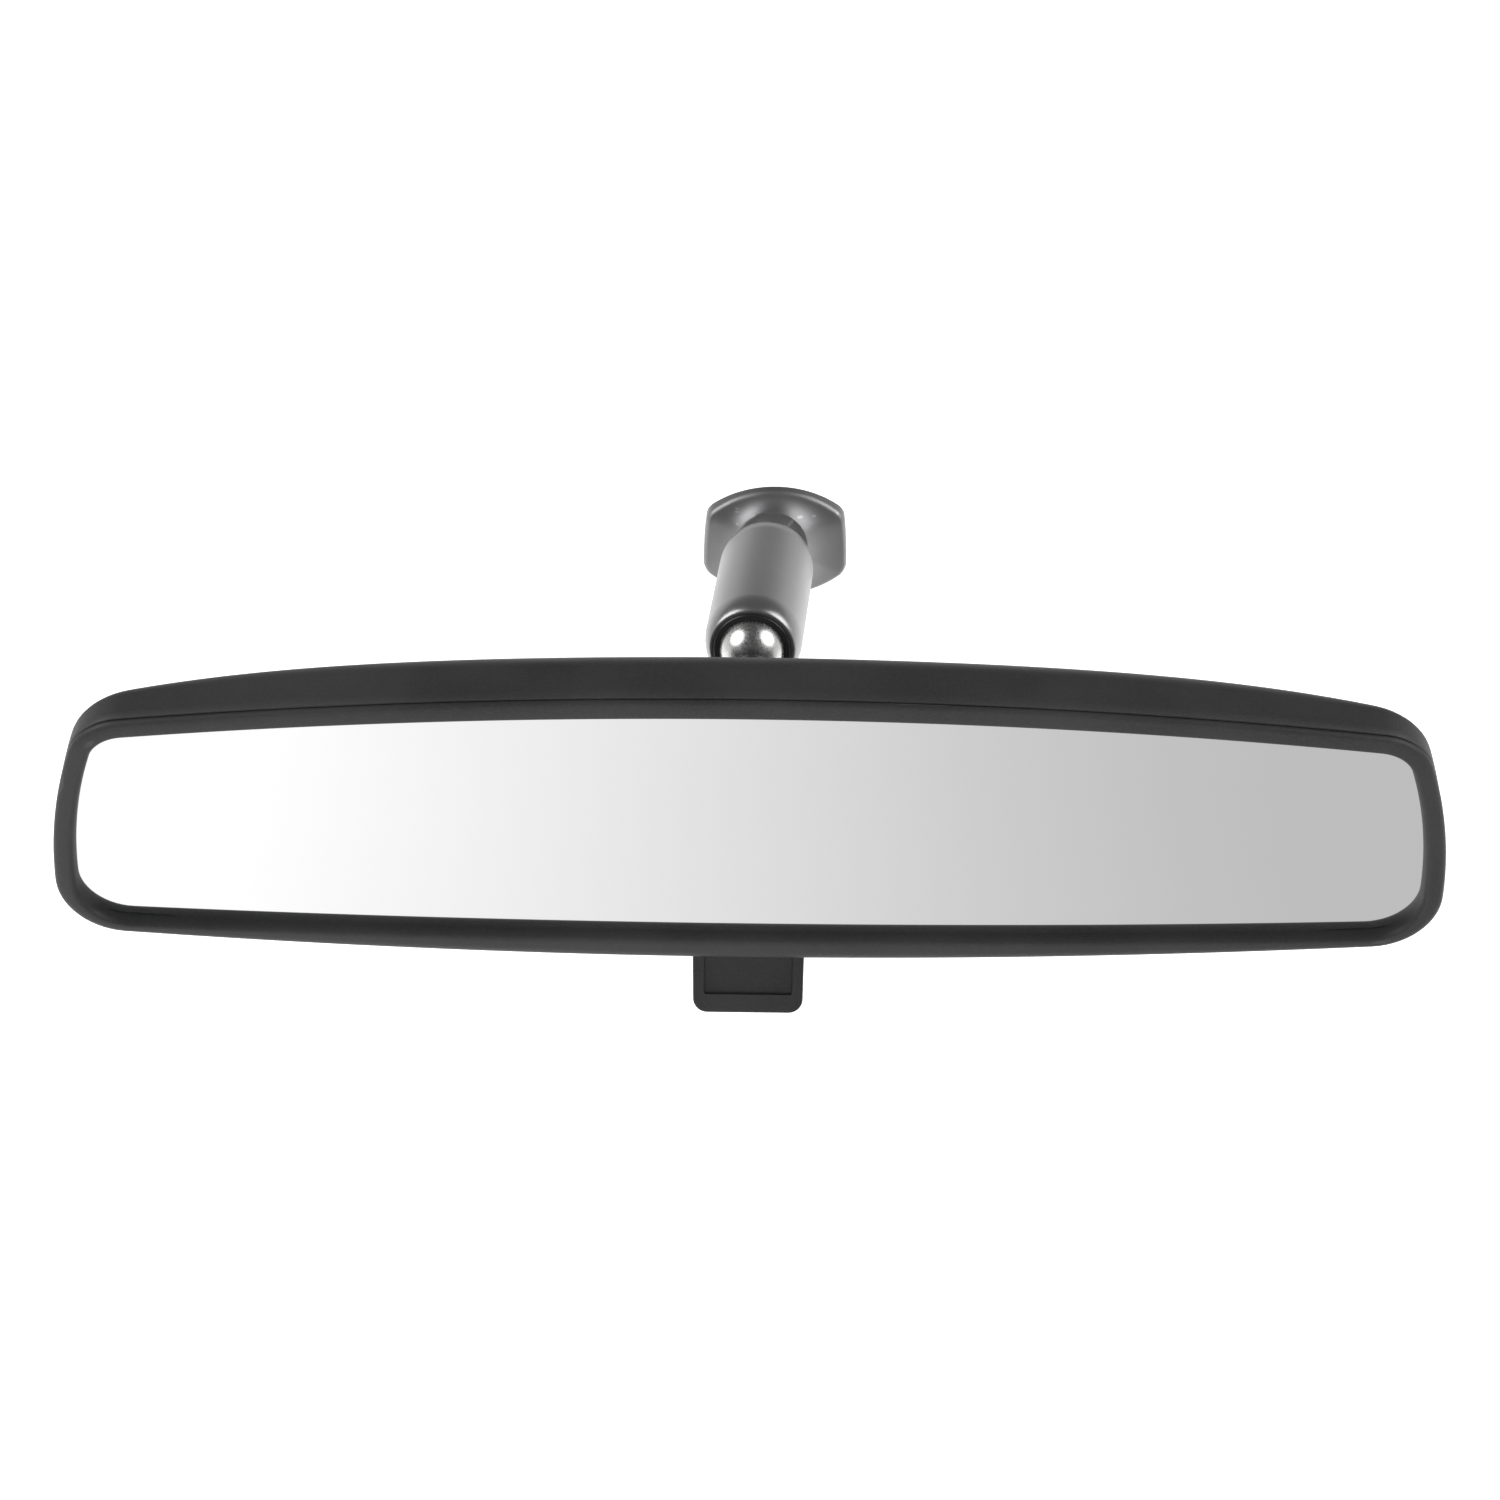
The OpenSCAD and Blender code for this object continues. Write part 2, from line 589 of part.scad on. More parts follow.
// ---- Bracket that carries both axles ----
bracket_half_w = screw_x + 5;
bracket_top = screw_z + 5.5;
bracket_bottom = lever_axle_at[2] + 4.6;
ear_t = 1.8;
tilt_ear_x = carrier_knuckle_half + 0.4;
lever_ear_x = tab_w / 2 + 1.6;
ear_r = 3.5;
window_half = 10.4;
window_top = -2;
hub_half = lever_ear_x - 0.2;
lever_flat = 3.6;
spring_gap = 0.3;
leaf_t = 0.4;
leaf_y = lever_axle_at[1] + lever_flat + spring_gap;
leaf_top = lever_axle_at[2] + 1.8;
leaf_bottom = lever_axle_at[2] - 1.2;
arm_back_y = leaf_y + leaf_t + 0.5;
screw_head_r = 2.7;
screw_head_t = 1.3;
cross_len = 3.2;
cross_w = 0.6;
cross_d = 0.8;
axle_end = 0.5;

module pivot_bracket() {
    color(zinc_plate) in_head() difference() {
        union() {
            box([-bracket_half_w, bracket_y, bracket_bottom], [bracket_half_w, bracket_back_y, bracket_top]);
            both_sides() box([tilt_ear_x, bracket_y, tilt_axle_up - ear_r],
                [tilt_ear_x + ear_t, tilt_axle[1], tilt_axle_up + ear_r]);
            both_sides() translate(tilt_axle + [tilt_ear_x, 0, 0]) along_x() cylinder(h = ear_t, r = ear_r);
            both_sides() box([lever_ear_x, bracket_y, bracket_bottom - 3.4],
                [lever_ear_x + ear_t, arm_back_y, bracket_bottom + 2]);
            both_sides() box([lever_ear_x, lever_axle_at[1], leaf_bottom + 0.8],
                [lever_ear_x + ear_t, arm_back_y, bracket_bottom]);
            both_sides() translate(lever_axle_at + [lever_ear_x, 0, 0]) along_x()
                cylinder(h = ear_t, r = ear_r);
        }
        box([-window_half, bracket_y - 1, bracket_bottom - ear_r],
            [window_half, bracket_back_y + 1, window_top]);
        for (axle = [tilt_axle, lever_axle_at])
            translate(axle) along_x()
                cylinder(h = 2 * bracket_half_w, r = axle_r + press_gap, center = true);
        box([-bracket_half_w, leaf_y - running_gap, leaf_bottom - 5],
            [bracket_half_w, leaf_y + leaf_t + running_gap, leaf_top + seat_gap]);
        for (x = [-screw_x, screw_x], z = [-screw_z, screw_z])
            translate([x, 0, z]) along_y() cylinder(h = case_d, r = screw_r + screw_hole_play);
    }
}

module bracket_screws() {
    color(bright_steel) in_head()
        for (x = [-screw_x, screw_x], z = [-screw_z, screw_z])
            translate([x, bracket_y, z]) along_y() difference() {
                union() {
                    translate([0, 0, -screw_head_t]) cylinder(h = screw_head_t, r = screw_head_r);
                    cylinder(h = bracket_t + screw_depth, r = screw_r);
                }
                for (turn = [0, 90])
                    rotate([0, 0, turn]) translate([-cross_len / 2, -cross_w / 2, -screw_head_t - 0.1])
                        cube([cross_len, cross_w, cross_d]);
            }
}

module tilt_axle() {
    color(bright_steel) in_head() translate(tilt_axle) along_x()
        cylinder(h = 2 * (tilt_ear_x + ear_t + axle_end), r = axle_r, center = true);
}
module lever_axle() {
    color(bright_steel) in_head() translate(lever_axle_at) along_x()
        cylinder(h = 2 * (lever_ear_x + ear_t + axle_end), r = axle_r, center = true);
}
module detent_spring() {
    color(bright_steel) in_head() box([-lever_ear_x - ear_t, leaf_y, leaf_bottom],
        [lever_ear_x + ear_t, leaf_y + leaf_t, leaf_top]);
}

// ---- Day and night lever ----
cheek_in = 4;
cheek_out = 7.2;
cheek_r = 2.9;
lever_hub_r = lever_flat / cos(half_flip);
tab_tip_w = tab_w - 1.2;
tab_corner_r = 2.3;
tab_root = 2.6;
recess_w = tab_w - 4.8;
recess_top = tab_len - 12.6;
recess_bottom = tab_len - 3.4;
recess_d = 0.9;

// A bar whose rear side has been cut flat at a distance from the axle, at an angle from +Y
module lever_hub_flat(angle) {
    rotate([angle, 0, 0]) box([-tab_w, lever_flat, -5], [tab_w, 10, 5]);
}

module tab_plate() {
    half = tab_w / 2;
    tip = tab_tip_w / 2;
    corner = tab_len - tab_corner_r;
    rotate([90, 0, 0]) translate([0, 0, -tab_t / 2]) linear_extrude(tab_t) union() {
        polygon([[-half, -tab_root], [half, -tab_root], [tip, -corner], [tip - tab_corner_r, -tab_len],
            [tab_corner_r - tip, -tab_len], [-tip, -corner]]);
        for (x = [tab_corner_r - tip, tip - tab_corner_r]) translate([x, -corner]) circle(r = tab_corner_r);
    }
}

module toggle_lever() {
    color(black_plastic) in_head() translate(lever_axle_at) difference() {
        union() {
            difference() {
                both_sides() translate([cheek_in, 0, 0]) along_x()
                    cylinder(h = hub_half - cheek_in, r = lever_hub_r);
                lever_hub_flat(0);
                lever_hub_flat(-lever_flip);
            }
            both_sides() translate([cheek_in, 0, 0] + crank_pin_at - lever_axle_at) along_x()
                cylinder(h = cheek_out - cheek_in, r = cheek_r);
            rotate([-tab_lean, 0, 0]) tab_plate();
        }
        along_x() cylinder(h = 2 * tab_w, r = axle_r + running_gap, center = true);
        translate(crank_pin_at - lever_axle_at) along_x()
            cylinder(h = 2 * tab_w, r = crank_pin_d / 2 + press_gap, center = true);
        rotate([-tab_lean, 0, 0]) box([-recess_w / 2, -tab_t, -recess_bottom],
            [recess_w / 2, recess_d - tab_t / 2, -recess_top]);
    }
}

module crank_pin() {
    color(bright_steel) in_head() translate(crank_pin_at) along_x()
        cylinder(h = 2 * cheek_out, r = crank_pin_d / 2, center = true);
}

mount_foot();
foot_set_screw();
foot_ball_stud();
foot_spring_seat();
foot_ball_ring();
arm_tube();
arm_spring();
head_ball_ring();
head_spring_seat();
head_ball_stud();
ball_carrier();
stud_push_nut();
case_shell();
front_bezel();
mirror_glass();
mirror_silvering();
glass_foam();
pivot_bracket();
bracket_screws();
tilt_axle();
lever_axle();
detent_spring();
toggle_lever();
crank_pin();
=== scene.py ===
import json
import math

import bmesh
import bpy
import numpy as np
from mathutils import Matrix, Vector


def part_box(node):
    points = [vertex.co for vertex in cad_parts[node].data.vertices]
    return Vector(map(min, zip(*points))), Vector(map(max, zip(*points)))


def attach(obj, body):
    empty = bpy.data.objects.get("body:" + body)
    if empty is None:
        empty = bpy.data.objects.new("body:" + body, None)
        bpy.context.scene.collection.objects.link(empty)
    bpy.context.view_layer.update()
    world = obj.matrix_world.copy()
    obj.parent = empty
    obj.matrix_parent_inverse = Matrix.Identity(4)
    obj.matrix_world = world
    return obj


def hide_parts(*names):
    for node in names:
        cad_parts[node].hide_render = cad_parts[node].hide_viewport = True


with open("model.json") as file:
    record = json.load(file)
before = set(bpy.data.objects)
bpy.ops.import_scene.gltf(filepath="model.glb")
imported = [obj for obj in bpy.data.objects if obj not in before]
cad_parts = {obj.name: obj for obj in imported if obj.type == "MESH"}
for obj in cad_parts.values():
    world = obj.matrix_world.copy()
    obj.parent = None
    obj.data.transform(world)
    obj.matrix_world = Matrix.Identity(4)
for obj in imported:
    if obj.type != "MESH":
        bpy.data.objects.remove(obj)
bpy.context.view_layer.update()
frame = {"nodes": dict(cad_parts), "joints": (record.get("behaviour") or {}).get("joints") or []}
nodes = frame["nodes"]
joints = {j["name"]: j for j in frame["joints"]}

# Lengths below are millimetres, measured in a local frame of the head, the arm or the foot,
# and are turned to metres in the frame's own axes when a piece's mesh is made.
MM = 0.001


# ---------------------------------------------------------------- places taken from the frame
def joint_at(name):
    return Vector(joints[name]["pos_m"])


def size_of(node):
    low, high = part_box(node)
    return (high - low) / MM


glass_low, glass_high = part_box("mirror_glass")
bezel_low, bezel_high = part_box("front_bezel")
head_at = Vector(((glass_low.x + glass_high.x) / 2, glass_low.y, (bezel_low.z + bezel_high.z) / 2))
head_ball_at = joint_at("head_spin")
foot_ball_at = joint_at("arm_spin")
tilt_axle_at = (joint_at("day_night_tilt") - head_at) / MM
lever_axle_at = (joint_at("toggle_flip") - head_at) / MM
neck_len = (head_ball_at.y - head_at.y) / MM
stud_rise = (head_ball_at.z - head_at.z) / MM
ball_spacing = (foot_ball_at - head_ball_at).length / MM


def place(at, x, y, z):
    """A local frame at a point, in metres, with its axes, that takes millimetres."""
    axes = Matrix((Vector(x), Vector(y), Vector(z))).transposed().to_4x4()
    return Matrix.Translation(at) @ axes @ Matrix.Scale(MM, 4)


def place_along(at, direction):
    """A local frame whose Z runs along a direction."""
    z = Vector(direction).normalized()
    x = Vector((0, 0, 1)).cross(z).normalized()
    return place(at, x, z.cross(x), z)


HEAD = place(head_at, (1, 0, 0), (0, 1, 0), (0, 0, 1))
FOOT = place(Vector((0, 0, 0)), (1, 0, 0), (0, 1, 0), (0, 0, 1))
ARM = place_along(head_ball_at, foot_ball_at - head_ball_at)
ARM_FOOT_END = place_along(foot_ball_at, head_ball_at - foot_ball_at)
HEAD_STUD = place_along(head_at + Vector((0, 0, stud_rise * MM)), (0, 1, 0))
FOOT_STUD = place_along(Vector((0, 0, 0)), foot_ball_at)


# ---------------------------------------------------------------- camera
CAMERA_BACK = 495.6
CAMERA_UP = 465.8
CAMERA_PITCH = math.radians(42)
CAMERA_ROLL = math.radians(0.72)
FOCAL_LENGTH = 86.4
SENSOR_WIDTH = 36


def make_camera():
    data = bpy.data.cameras.new("camera")
    data.lens = FOCAL_LENGTH
    data.sensor_width = SENSOR_WIDTH
    data.clip_start = 0.01
    data.clip_end = 50
    camera = bpy.data.objects.new("camera", data)
    bpy.context.scene.collection.objects.link(camera)
    eye = head_at + Vector((0, -CAMERA_BACK * MM, CAMERA_UP * MM))
    forward = Vector((0, math.cos(CAMERA_PITCH), -math.sin(CAMERA_PITCH)))
    up = Vector((0, math.sin(CAMERA_PITCH), math.cos(CAMERA_PITCH)))
    axes = Matrix((Vector((1, 0, 0)), up, -forward)).transposed().to_4x4()
    roll = Matrix.Rotation(-CAMERA_ROLL, 4, (head_at - eye).normalized())
    camera.matrix_world = Matrix.Translation(eye) @ roll @ axes
    bpy.context.scene.camera = camera


make_camera()


# ---------------------------------------------------------------- mesh helpers
SHARP = math.radians(32)


def finish_mesh(obj, sharp=SHARP):
    """Consistent normals, smooth faces and a hard edge wherever two faces meet at an angle."""
    bm = bmesh.new()
    bm.from_mesh(obj.data)
    bmesh.ops.remove_doubles(bm, verts=bm.verts, dist=0.002 * MM)
    bmesh.ops.dissolve_degenerate(bm, edges=bm.edges, dist=0.001 * MM)
    bmesh.ops.recalc_face_normals(bm, faces=bm.faces)
    for face in bm.faces:
        face.smooth = True
    for edge in bm.edges:
        edge.smooth = not (len(edge.link_faces) == 2 and edge.calc_face_angle(0) > sharp)
    bm.to_mesh(obj.data)
    bm.free()


def mesh_object(name, points, faces, where):
    mesh = bpy.data.meshes.new(name)
    mesh.from_pydata([where @ Vector(p) for p in points], [], faces)
    obj = bpy.data.objects.new(name, mesh)
    bpy.context.scene.collection.objects.link(obj)
    finish_mesh(obj)
    return obj


def skin(name, rings, where, closed=False, caps=True):
    """A skin over rings of the same number of points. closed joins the last ring to the first."""
    rings = [np.asarray(r, float) for r in rings]
    count = len(rings[0])
    points = np.concatenate(rings)
    faces = []
    for j in range(len(rings) if closed else len(rings) - 1):
        k = (j + 1) % len(rings)
        for i in range(count):
            n = (i + 1) % count
            faces.append((j * count + i, j * count + n, k * count + n, k * count + i))
    if caps and not closed:
        faces.append(tuple(range(count - 1, -1, -1)))
        last = (len(rings) - 1) * count
        faces.append(tuple(range(last, last + count)))
    return mesh_object(name, points, faces, where)


def lathe(name, profile, where, closed=False, steps=96):
    """A profile of (radius, height) turned about the local Z. closed is a ring-shaped section."""
    turn = np.linspace(0, 2 * math.pi, steps, endpoint=False)
    rings = [np.stack([r * np.cos(turn), r * np.sin(turn), np.full(steps, z)], 1) for r, z in profile]
    return skin(name, rings, where, closed=closed, caps=not closed)


def arc(centre, radius, start, end, steps):
    """Points of an arc, its angles in degrees."""
    angles = np.radians(np.linspace(start, end, steps + 1))
    return [(centre[0] + radius * math.cos(a), centre[1] + radius * math.sin(a)) for a in angles]


def apply_modifiers(obj):
    graph = bpy.context.evaluated_depsgraph_get()
    mesh = bpy.data.meshes.new_from_object(obj.evaluated_get(graph))
    obj.modifiers.clear()
    old = obj.data
    obj.data = mesh
    bpy.data.meshes.remove(old)
    mesh.name = obj.name
    return obj


def combine(obj, other, operation):
    """A boolean of two pieces. The second one is used up."""
    modifier = obj.modifiers.new("combine", "BOOLEAN")
    modifier.operation = operation
    modifier.solver = "EXACT"
    modifier.object = other
    apply_modifiers(obj)
    bpy.data.objects.remove(other)
    finish_mesh(obj)
    return obj


def block(name, low, high, where, round_edges=0.0):
    """A block with rounded edges, from its low corner to its high corner."""
    x, y, z = zip(low, high)
    points = [(x[i], y[j], z[k]) for i in (0, 1) for j in (0, 1) for k in (0, 1)]
    faces = [(0, 1, 3, 2), (4, 6, 7, 5), (0, 4, 5, 1), (2, 3, 7, 6), (0, 2, 6, 4), (1, 5, 7, 3)]
    obj = mesh_object(name, points, faces, where)
    if round_edges:
        soften(obj, round_edges)
    return obj


def soften(obj, width, segments=3, angle=40):
    """Rounds the edges of a piece that are sharper than an angle."""
    modifier = obj.modifiers.new("soften", "BEVEL")
    modifier.width = width * MM
    modifier.segments = segments
    modifier.limit_method = "ANGLE"
    modifier.angle_limit = math.radians(angle)
    modifier.use_clamp_overlap = True
    apply_modifiers(obj)
    finish_mesh(obj)
    return obj


# ---------------------------------------------------------------- outlines
EDGE_STEPS = 48
CORNER_STEPS = 14
END_STEPS = 22


def circles_meet(a, ra, b, rb, side):
    """Where two circles meet, on the left (1) or the right (-1) of the way from a to b."""
    way = b - a
    n = np.hypot(*way)
    u = way / n
    along = (ra * ra - rb * rb + n * n) / (2 * n)
    return a + along * u + side * math.sqrt(ra * ra - along * along) * np.array([-u[1], u[0]])


def heading(v):
    return math.degrees(math.atan2(v[1], v[0]))


def outline(shape, grow=0.0):
    """Three bowed edges joined by round corners, clockwise from the top's middle, as (x, z)."""
    top_at = np.array([0, shape["top"] - shape["top_r"]])
    end_at = np.array([shape["half_w"] - shape["end_r"], shape["end_z"]])
    bottom_at = np.array([0, shape["bottom"] + shape["bottom_r"]])
    upper_r = shape["upper_r"]
    lower_r = shape["lower_r"]
    upper = circles_meet(top_at, shape["top_r"] - upper_r, end_at, shape["end_r"] - upper_r, -1)
    lower = circles_meet(bottom_at, shape["bottom_r"] - lower_r, end_at, shape["end_r"] - lower_r, 1)
    stretches = [
        (top_at, shape["top_r"], 90, heading(upper - top_at), EDGE_STEPS),
        (upper, upper_r, heading(upper - top_at), heading(upper - end_at), CORNER_STEPS),
        (end_at, shape["end_r"], heading(upper - end_at), heading(lower - end_at), END_STEPS),
        (lower, lower_r, heading(lower - end_at), heading(lower - bottom_at), CORNER_STEPS),
        (bottom_at, shape["bottom_r"], heading(lower - bottom_at), -90, EDGE_STEPS),
    ]
    half = [arc(stretches[0][0], stretches[0][1] + grow, 90, 90, 1)[0]]
    for at, radius, start, end, steps in stretches:
        half += arc(at, radius + grow, start, end, steps)[1:]
    return np.array(half + [(-x, z) for x, z in half[-2:0:-1]])


HEAD_W = size_of("front_bezel").x
HEAD_H = size_of("front_bezel").z
HALF_W = HEAD_W / 2
HALF_H = HEAD_H / 2
WIDEST_BELOW = 18
HEAD_SHAPE = dict(
    top=HALF_H, top_r=1000, half_w=HALF_W, end_r=110, end_z=-WIDEST_BELOW,
    bottom=-HALF_H, bottom_r=1390, upper_r=12, lower_r=13,
)
BEZEL_TOP = 4.2
BEZEL_SIDE = 4.0
BEZEL_BOTTOM = 5.6
OPENING_SHAPE = dict(
    top=HALF_H - BEZEL_TOP, top_r=1060, half_w=HALF_W - BEZEL_SIDE, end_r=106, end_z=-WIDEST_BELOW,
    bottom=BEZEL_BOTTOM - HALF_H, bottom_r=3197, upper_r=8, lower_r=10,
)


def upright(points, depth):
    """Points of (x, z) at a depth, or at one depth each."""
    points = np.asarray(points)
    return np.stack([points[:, 0], np.broadcast_to(depth, len(points)), points[:, 1]], 1)


# ---------------------------------------------------------------- materials
def new_material(name):
    material = bpy.data.materials.new(name)
    material.use_nodes = True
    tree = material.node_tree
    shader = tree.nodes["Principled BSDF"]
    return material, tree, shader


def add_node(tree, kind, **inputs):
    node = tree.nodes.new(kind)
    for key, value in inputs.items():
        node.inputs[key.replace("_", " ")].default_value = value
    return node


def object_coordinates(tree):
    return tree.nodes.new("ShaderNodeTexCoord").outputs["Object"]


def noise(tree, where, scale, detail=4.0, roughness=0.55, stretch=None):
    """A noise whose scale is in features per metre, stretched along an axis if wanted."""
    if stretch:
        mapping = tree.nodes.new("ShaderNodeMapping")
        mapping.inputs["Scale"].default_value = stretch
        tree.links.new(where, mapping.inputs["Vector"])
        where = mapping.outputs["Vector"]
    node = add_node(tree, "ShaderNodeTexNoise", Scale=scale, Detail=detail, Roughness=roughness)
    tree.links.new(where, node.inputs["Vector"])
    return node.outputs["Fac"]


def ramp(tree, value, stops, ease=False):
    """A value remapped through stops of (position, grey or colour)."""
    node = tree.nodes.new("ShaderNodeValToRGB")
    if ease:
        node.color_ramp.interpolation = "EASE"
    elements = node.color_ramp.elements
    while len(elements) < len(stops):
        elements.new(0.5)
    for element, (position, colour) in zip(elements, stops):
        element.position = position
        element.color = (*colour, 1) if isinstance(colour, tuple) else (colour, colour, colour, 1)
    tree.links.new(value, node.inputs["Fac"])
    return node.outputs["Color"]


def remap(tree, value, low, high, from_low=0.3, from_high=0.7):
    """A value stretched from one range to another; a noise runs mostly from 0.3 to 0.7."""
    node = add_node(tree, "ShaderNodeMapRange", From_Min=from_low, From_Max=from_high,
                    To_Min=low, To_Max=high)
    tree.links.new(value, node.inputs["Value"])
    return node.outputs["Result"]


def mix_colours(tree, factor, first, second):
    node = tree.nodes.new("ShaderNodeMix")
    node.data_type = "RGBA"
    tree.links.new(factor, node.inputs["Factor"])
    for socket, value in ((node.inputs[6], first), (node.inputs[7], second)):
        if isinstance(value, tuple):
            socket.default_value = (*value, 1)
        else:
            tree.links.new(value, socket)
    return node.outputs[2]


def bump(tree, shader, height, distance, strength=1.0, under=None):
    """Bump whose distance is in metres. under is an earlier bump's normal."""
    node = add_node(tree, "ShaderNodeBump", Strength=strength, Distance=distance)
    tree.links.new(height, node.inputs["Height"])
    if under is not None:
        tree.links.new(under, node.inputs["Normal"])
    tree.links.new(node.outputs["Normal"], shader.inputs["Normal"])
    return node.outputs["Normal"]


def edge_wear(tree):
    """White on sharp convex edges, black elsewhere."""
    geometry = tree.nodes.new("ShaderNodeNewGeometry")
    return ramp(tree, geometry.outputs["Pointiness"], [(0.53, 0.0), (0.6, 1.0)])


def grained_plastic(name, colour, roughness, grain, dust=0.0, specular=0.45):
    """A moulded black plastic with a spark-eroded grain, faint flow marks and some dust."""
    material, tree, shader = new_material(name)
    where = object_coordinates(tree)
    flow = noise(tree, where, 35, detail=3)
    fine = noise(tree, where, 2600, detail=3, roughness=0.6)
    pale = tuple(1.5 * c + 0.004 for c in colour)
    base = mix_colours(tree, remap(tree, flow, 0.0, 0.6), colour, pale)
    base = mix_colours(tree, remap(tree, fine, 0.0, 0.5, 0.45, 0.75), base, tuple(2.2 * c for c in colour))
    worn = edge_wear(tree)
    base = mix_colours(tree, worn, base, tuple(1.8 * c + 0.006 for c in colour))
    if dust:
        speck = add_node(tree, "ShaderNodeTexVoronoi", Scale=230.0, Randomness=1.0)
        tree.links.new(where, speck.inputs["Vector"])
        near = ramp(tree, speck.outputs["Distance"], [(0.05, 1.0), (0.075, 0.0)])
        chosen = tree.nodes.new("ShaderNodeSeparateColor")
        tree.links.new(speck.outputs["Color"], chosen.inputs["Color"])
        rare = ramp(tree, chosen.outputs["Red"], [(1 - dust, 0.0), (1 - dust + 0.01, 1.0)])
        both = tree.nodes.new("ShaderNodeMath")
        both.operation = "MULTIPLY"
        tree.links.new(near, both.inputs[0])
        tree.links.new(rare, both.inputs[1])
        base = mix_colours(tree, both.outputs["Value"], base, (0.32, 0.31, 0.29))
    tree.links.new(base, shader.inputs["Base Color"])
    tree.links.new(remap(tree, flow, roughness - 0.05, roughness + 0.07), shader.inputs["Roughness"])
    shader.inputs["Specular IOR Level"].default_value = specular
    first = bump(tree, shader, noise(tree, where, 420, detail=2), grain * 0.6, 0.5)
    bump(tree, shader, fine, grain, 0.8, under=first)
    return material


def satin_paint(name, colour, roughness):
    """A satin coat with metal in it: fine orange peel, cloudy gloss and paler worn edges."""
    material, tree, shader = new_material(name)
    where = object_coordinates(tree)
    cloud = noise(tree, where, 60, detail=4)
    peel = noise(tree, where, 900, detail=2)
    fine = noise(tree, where, 5200, detail=2)
    worn = edge_wear(tree)
    darker = tuple(0.9 * c for c in colour)
    paler = tuple(1.1 * c for c in colour)
    base = mix_colours(tree, remap(tree, cloud, 0.0, 1.0), darker, paler)
    base = mix_colours(tree, worn, base, tuple(1.5 * c for c in colour))
    tree.links.new(base, shader.inputs["Base Color"])
    tree.links.new(remap(tree, cloud, roughness - 0.04, roughness + 0.05), shader.inputs["Roughness"])
    shader.inputs["Metallic"].default_value = 0.9
    first = bump(tree, shader, peel, 0.00002, 0.35)
    bump(tree, shader, fine, 0.000006, 0.5, under=first)
    return material


def metal(name, colour, roughness, brushed=None, stain=0.0):
    """Bare or plated steel with scratches, along one axis if brushed, and faint stains."""
    material, tree, shader = new_material(name)
    where = object_coordinates(tree)
    cloud = noise(tree, where, 180, detail=5)
    scratch = noise(tree, where, 2400, detail=5, stretch=brushed)
    dark = tuple((1 - stain) * c for c in colour)
    base = mix_colours(tree, remap(tree, cloud, 0.0, 1.0), dark, colour)
    tree.links.new(base, shader.inputs["Base Color"])
    shader.inputs["Metallic"].default_value = 1.0
    tree.links.new(remap(tree, scratch, roughness * 0.75, roughness * 1.35), shader.inputs["Roughness"])
    bump(tree, shader, scratch, 0.000004, 0.4)
    return material


def foam_material(name, colour):
    """Open-cell foam: dark cells in a paler web."""
    material, tree, shader = new_material(name)
    where = object_coordinates(tree)
    cells = add_node(tree, "ShaderNodeTexVoronoi", Scale=1600.0)
    tree.links.new(where, cells.inputs["Vector"])
    base = mix_colours(tree, cells.outputs["Distance"], tuple(0.5 * c for c in colour), colour)
    tree.links.new(base, shader.inputs["Base Color"])
    shader.inputs["Roughness"].default_value = 0.95
    bump(tree, shader, cells.outputs["Distance"], 0.0002, 0.8)
    return material


def mirror_material(name):
    """Silvered glass, drawn as bare silver, with a trace of haze where it was wiped."""
    material, tree, shader = new_material(name)
    where = object_coordinates(tree)
    haze = noise(tree, where, 40, detail=6, stretch=(0.3, 1.0, 1.4))
    tree.links.new(remap(tree, haze, 0.0, 0.012, 0.4, 0.75), shader.inputs["Roughness"])
    tint = mix_colours(tree, remap(tree, haze, 0.0, 1.0), (0.925, 0.93, 0.925), (0.935, 0.94, 0.935))
    tree.links.new(tint, shader.inputs["Base Color"])
    shader.inputs["Metallic"].default_value = 1.0
    return material


def glass_edge_material(name):
    """The ground edge of the prism: grey-green and matt."""
    material, tree, shader = new_material(name)
    where = object_coordinates(tree)
    grind = noise(tree, where, 3000, detail=4)
    tint = mix_colours(tree, grind, (0.14, 0.2, 0.18), (0.3, 0.38, 0.35))
    tree.links.new(tint, shader.inputs["Base Color"])
    tree.links.new(remap(tree, grind, 0.35, 0.6), shader.inputs["Roughness"])
    bump(tree, shader, grind, 0.00003, 0.6)
    return material


plastic = grained_plastic("black_polypropylene", (0.016, 0.016, 0.0165), 0.5, 0.00007, dust=0.06)
# The bezel is the case's black plastic; its darker base colour is painted shade, and its lower specular dims
# what it reflects.
bezel_plastic_with_painted_shade = grained_plastic(
    "black_polypropylene_bezel_painted_shade", (0.014, 0.014, 0.0145), 0.46, 0.00004, dust=0.02, specular=0.34)
# The lever is the case's black plastic too; its still darker base colour is painted shade, and its lower
# specular dims what it reflects.
lever_plastic_with_painted_shade = grained_plastic(
    "black_polypropylene_lever_painted_shade", (0.011, 0.011, 0.0115), 0.44, 0.00003, specular=0.28)
paint = satin_paint("satin_black_paint", (0.33, 0.33, 0.335), 0.32)
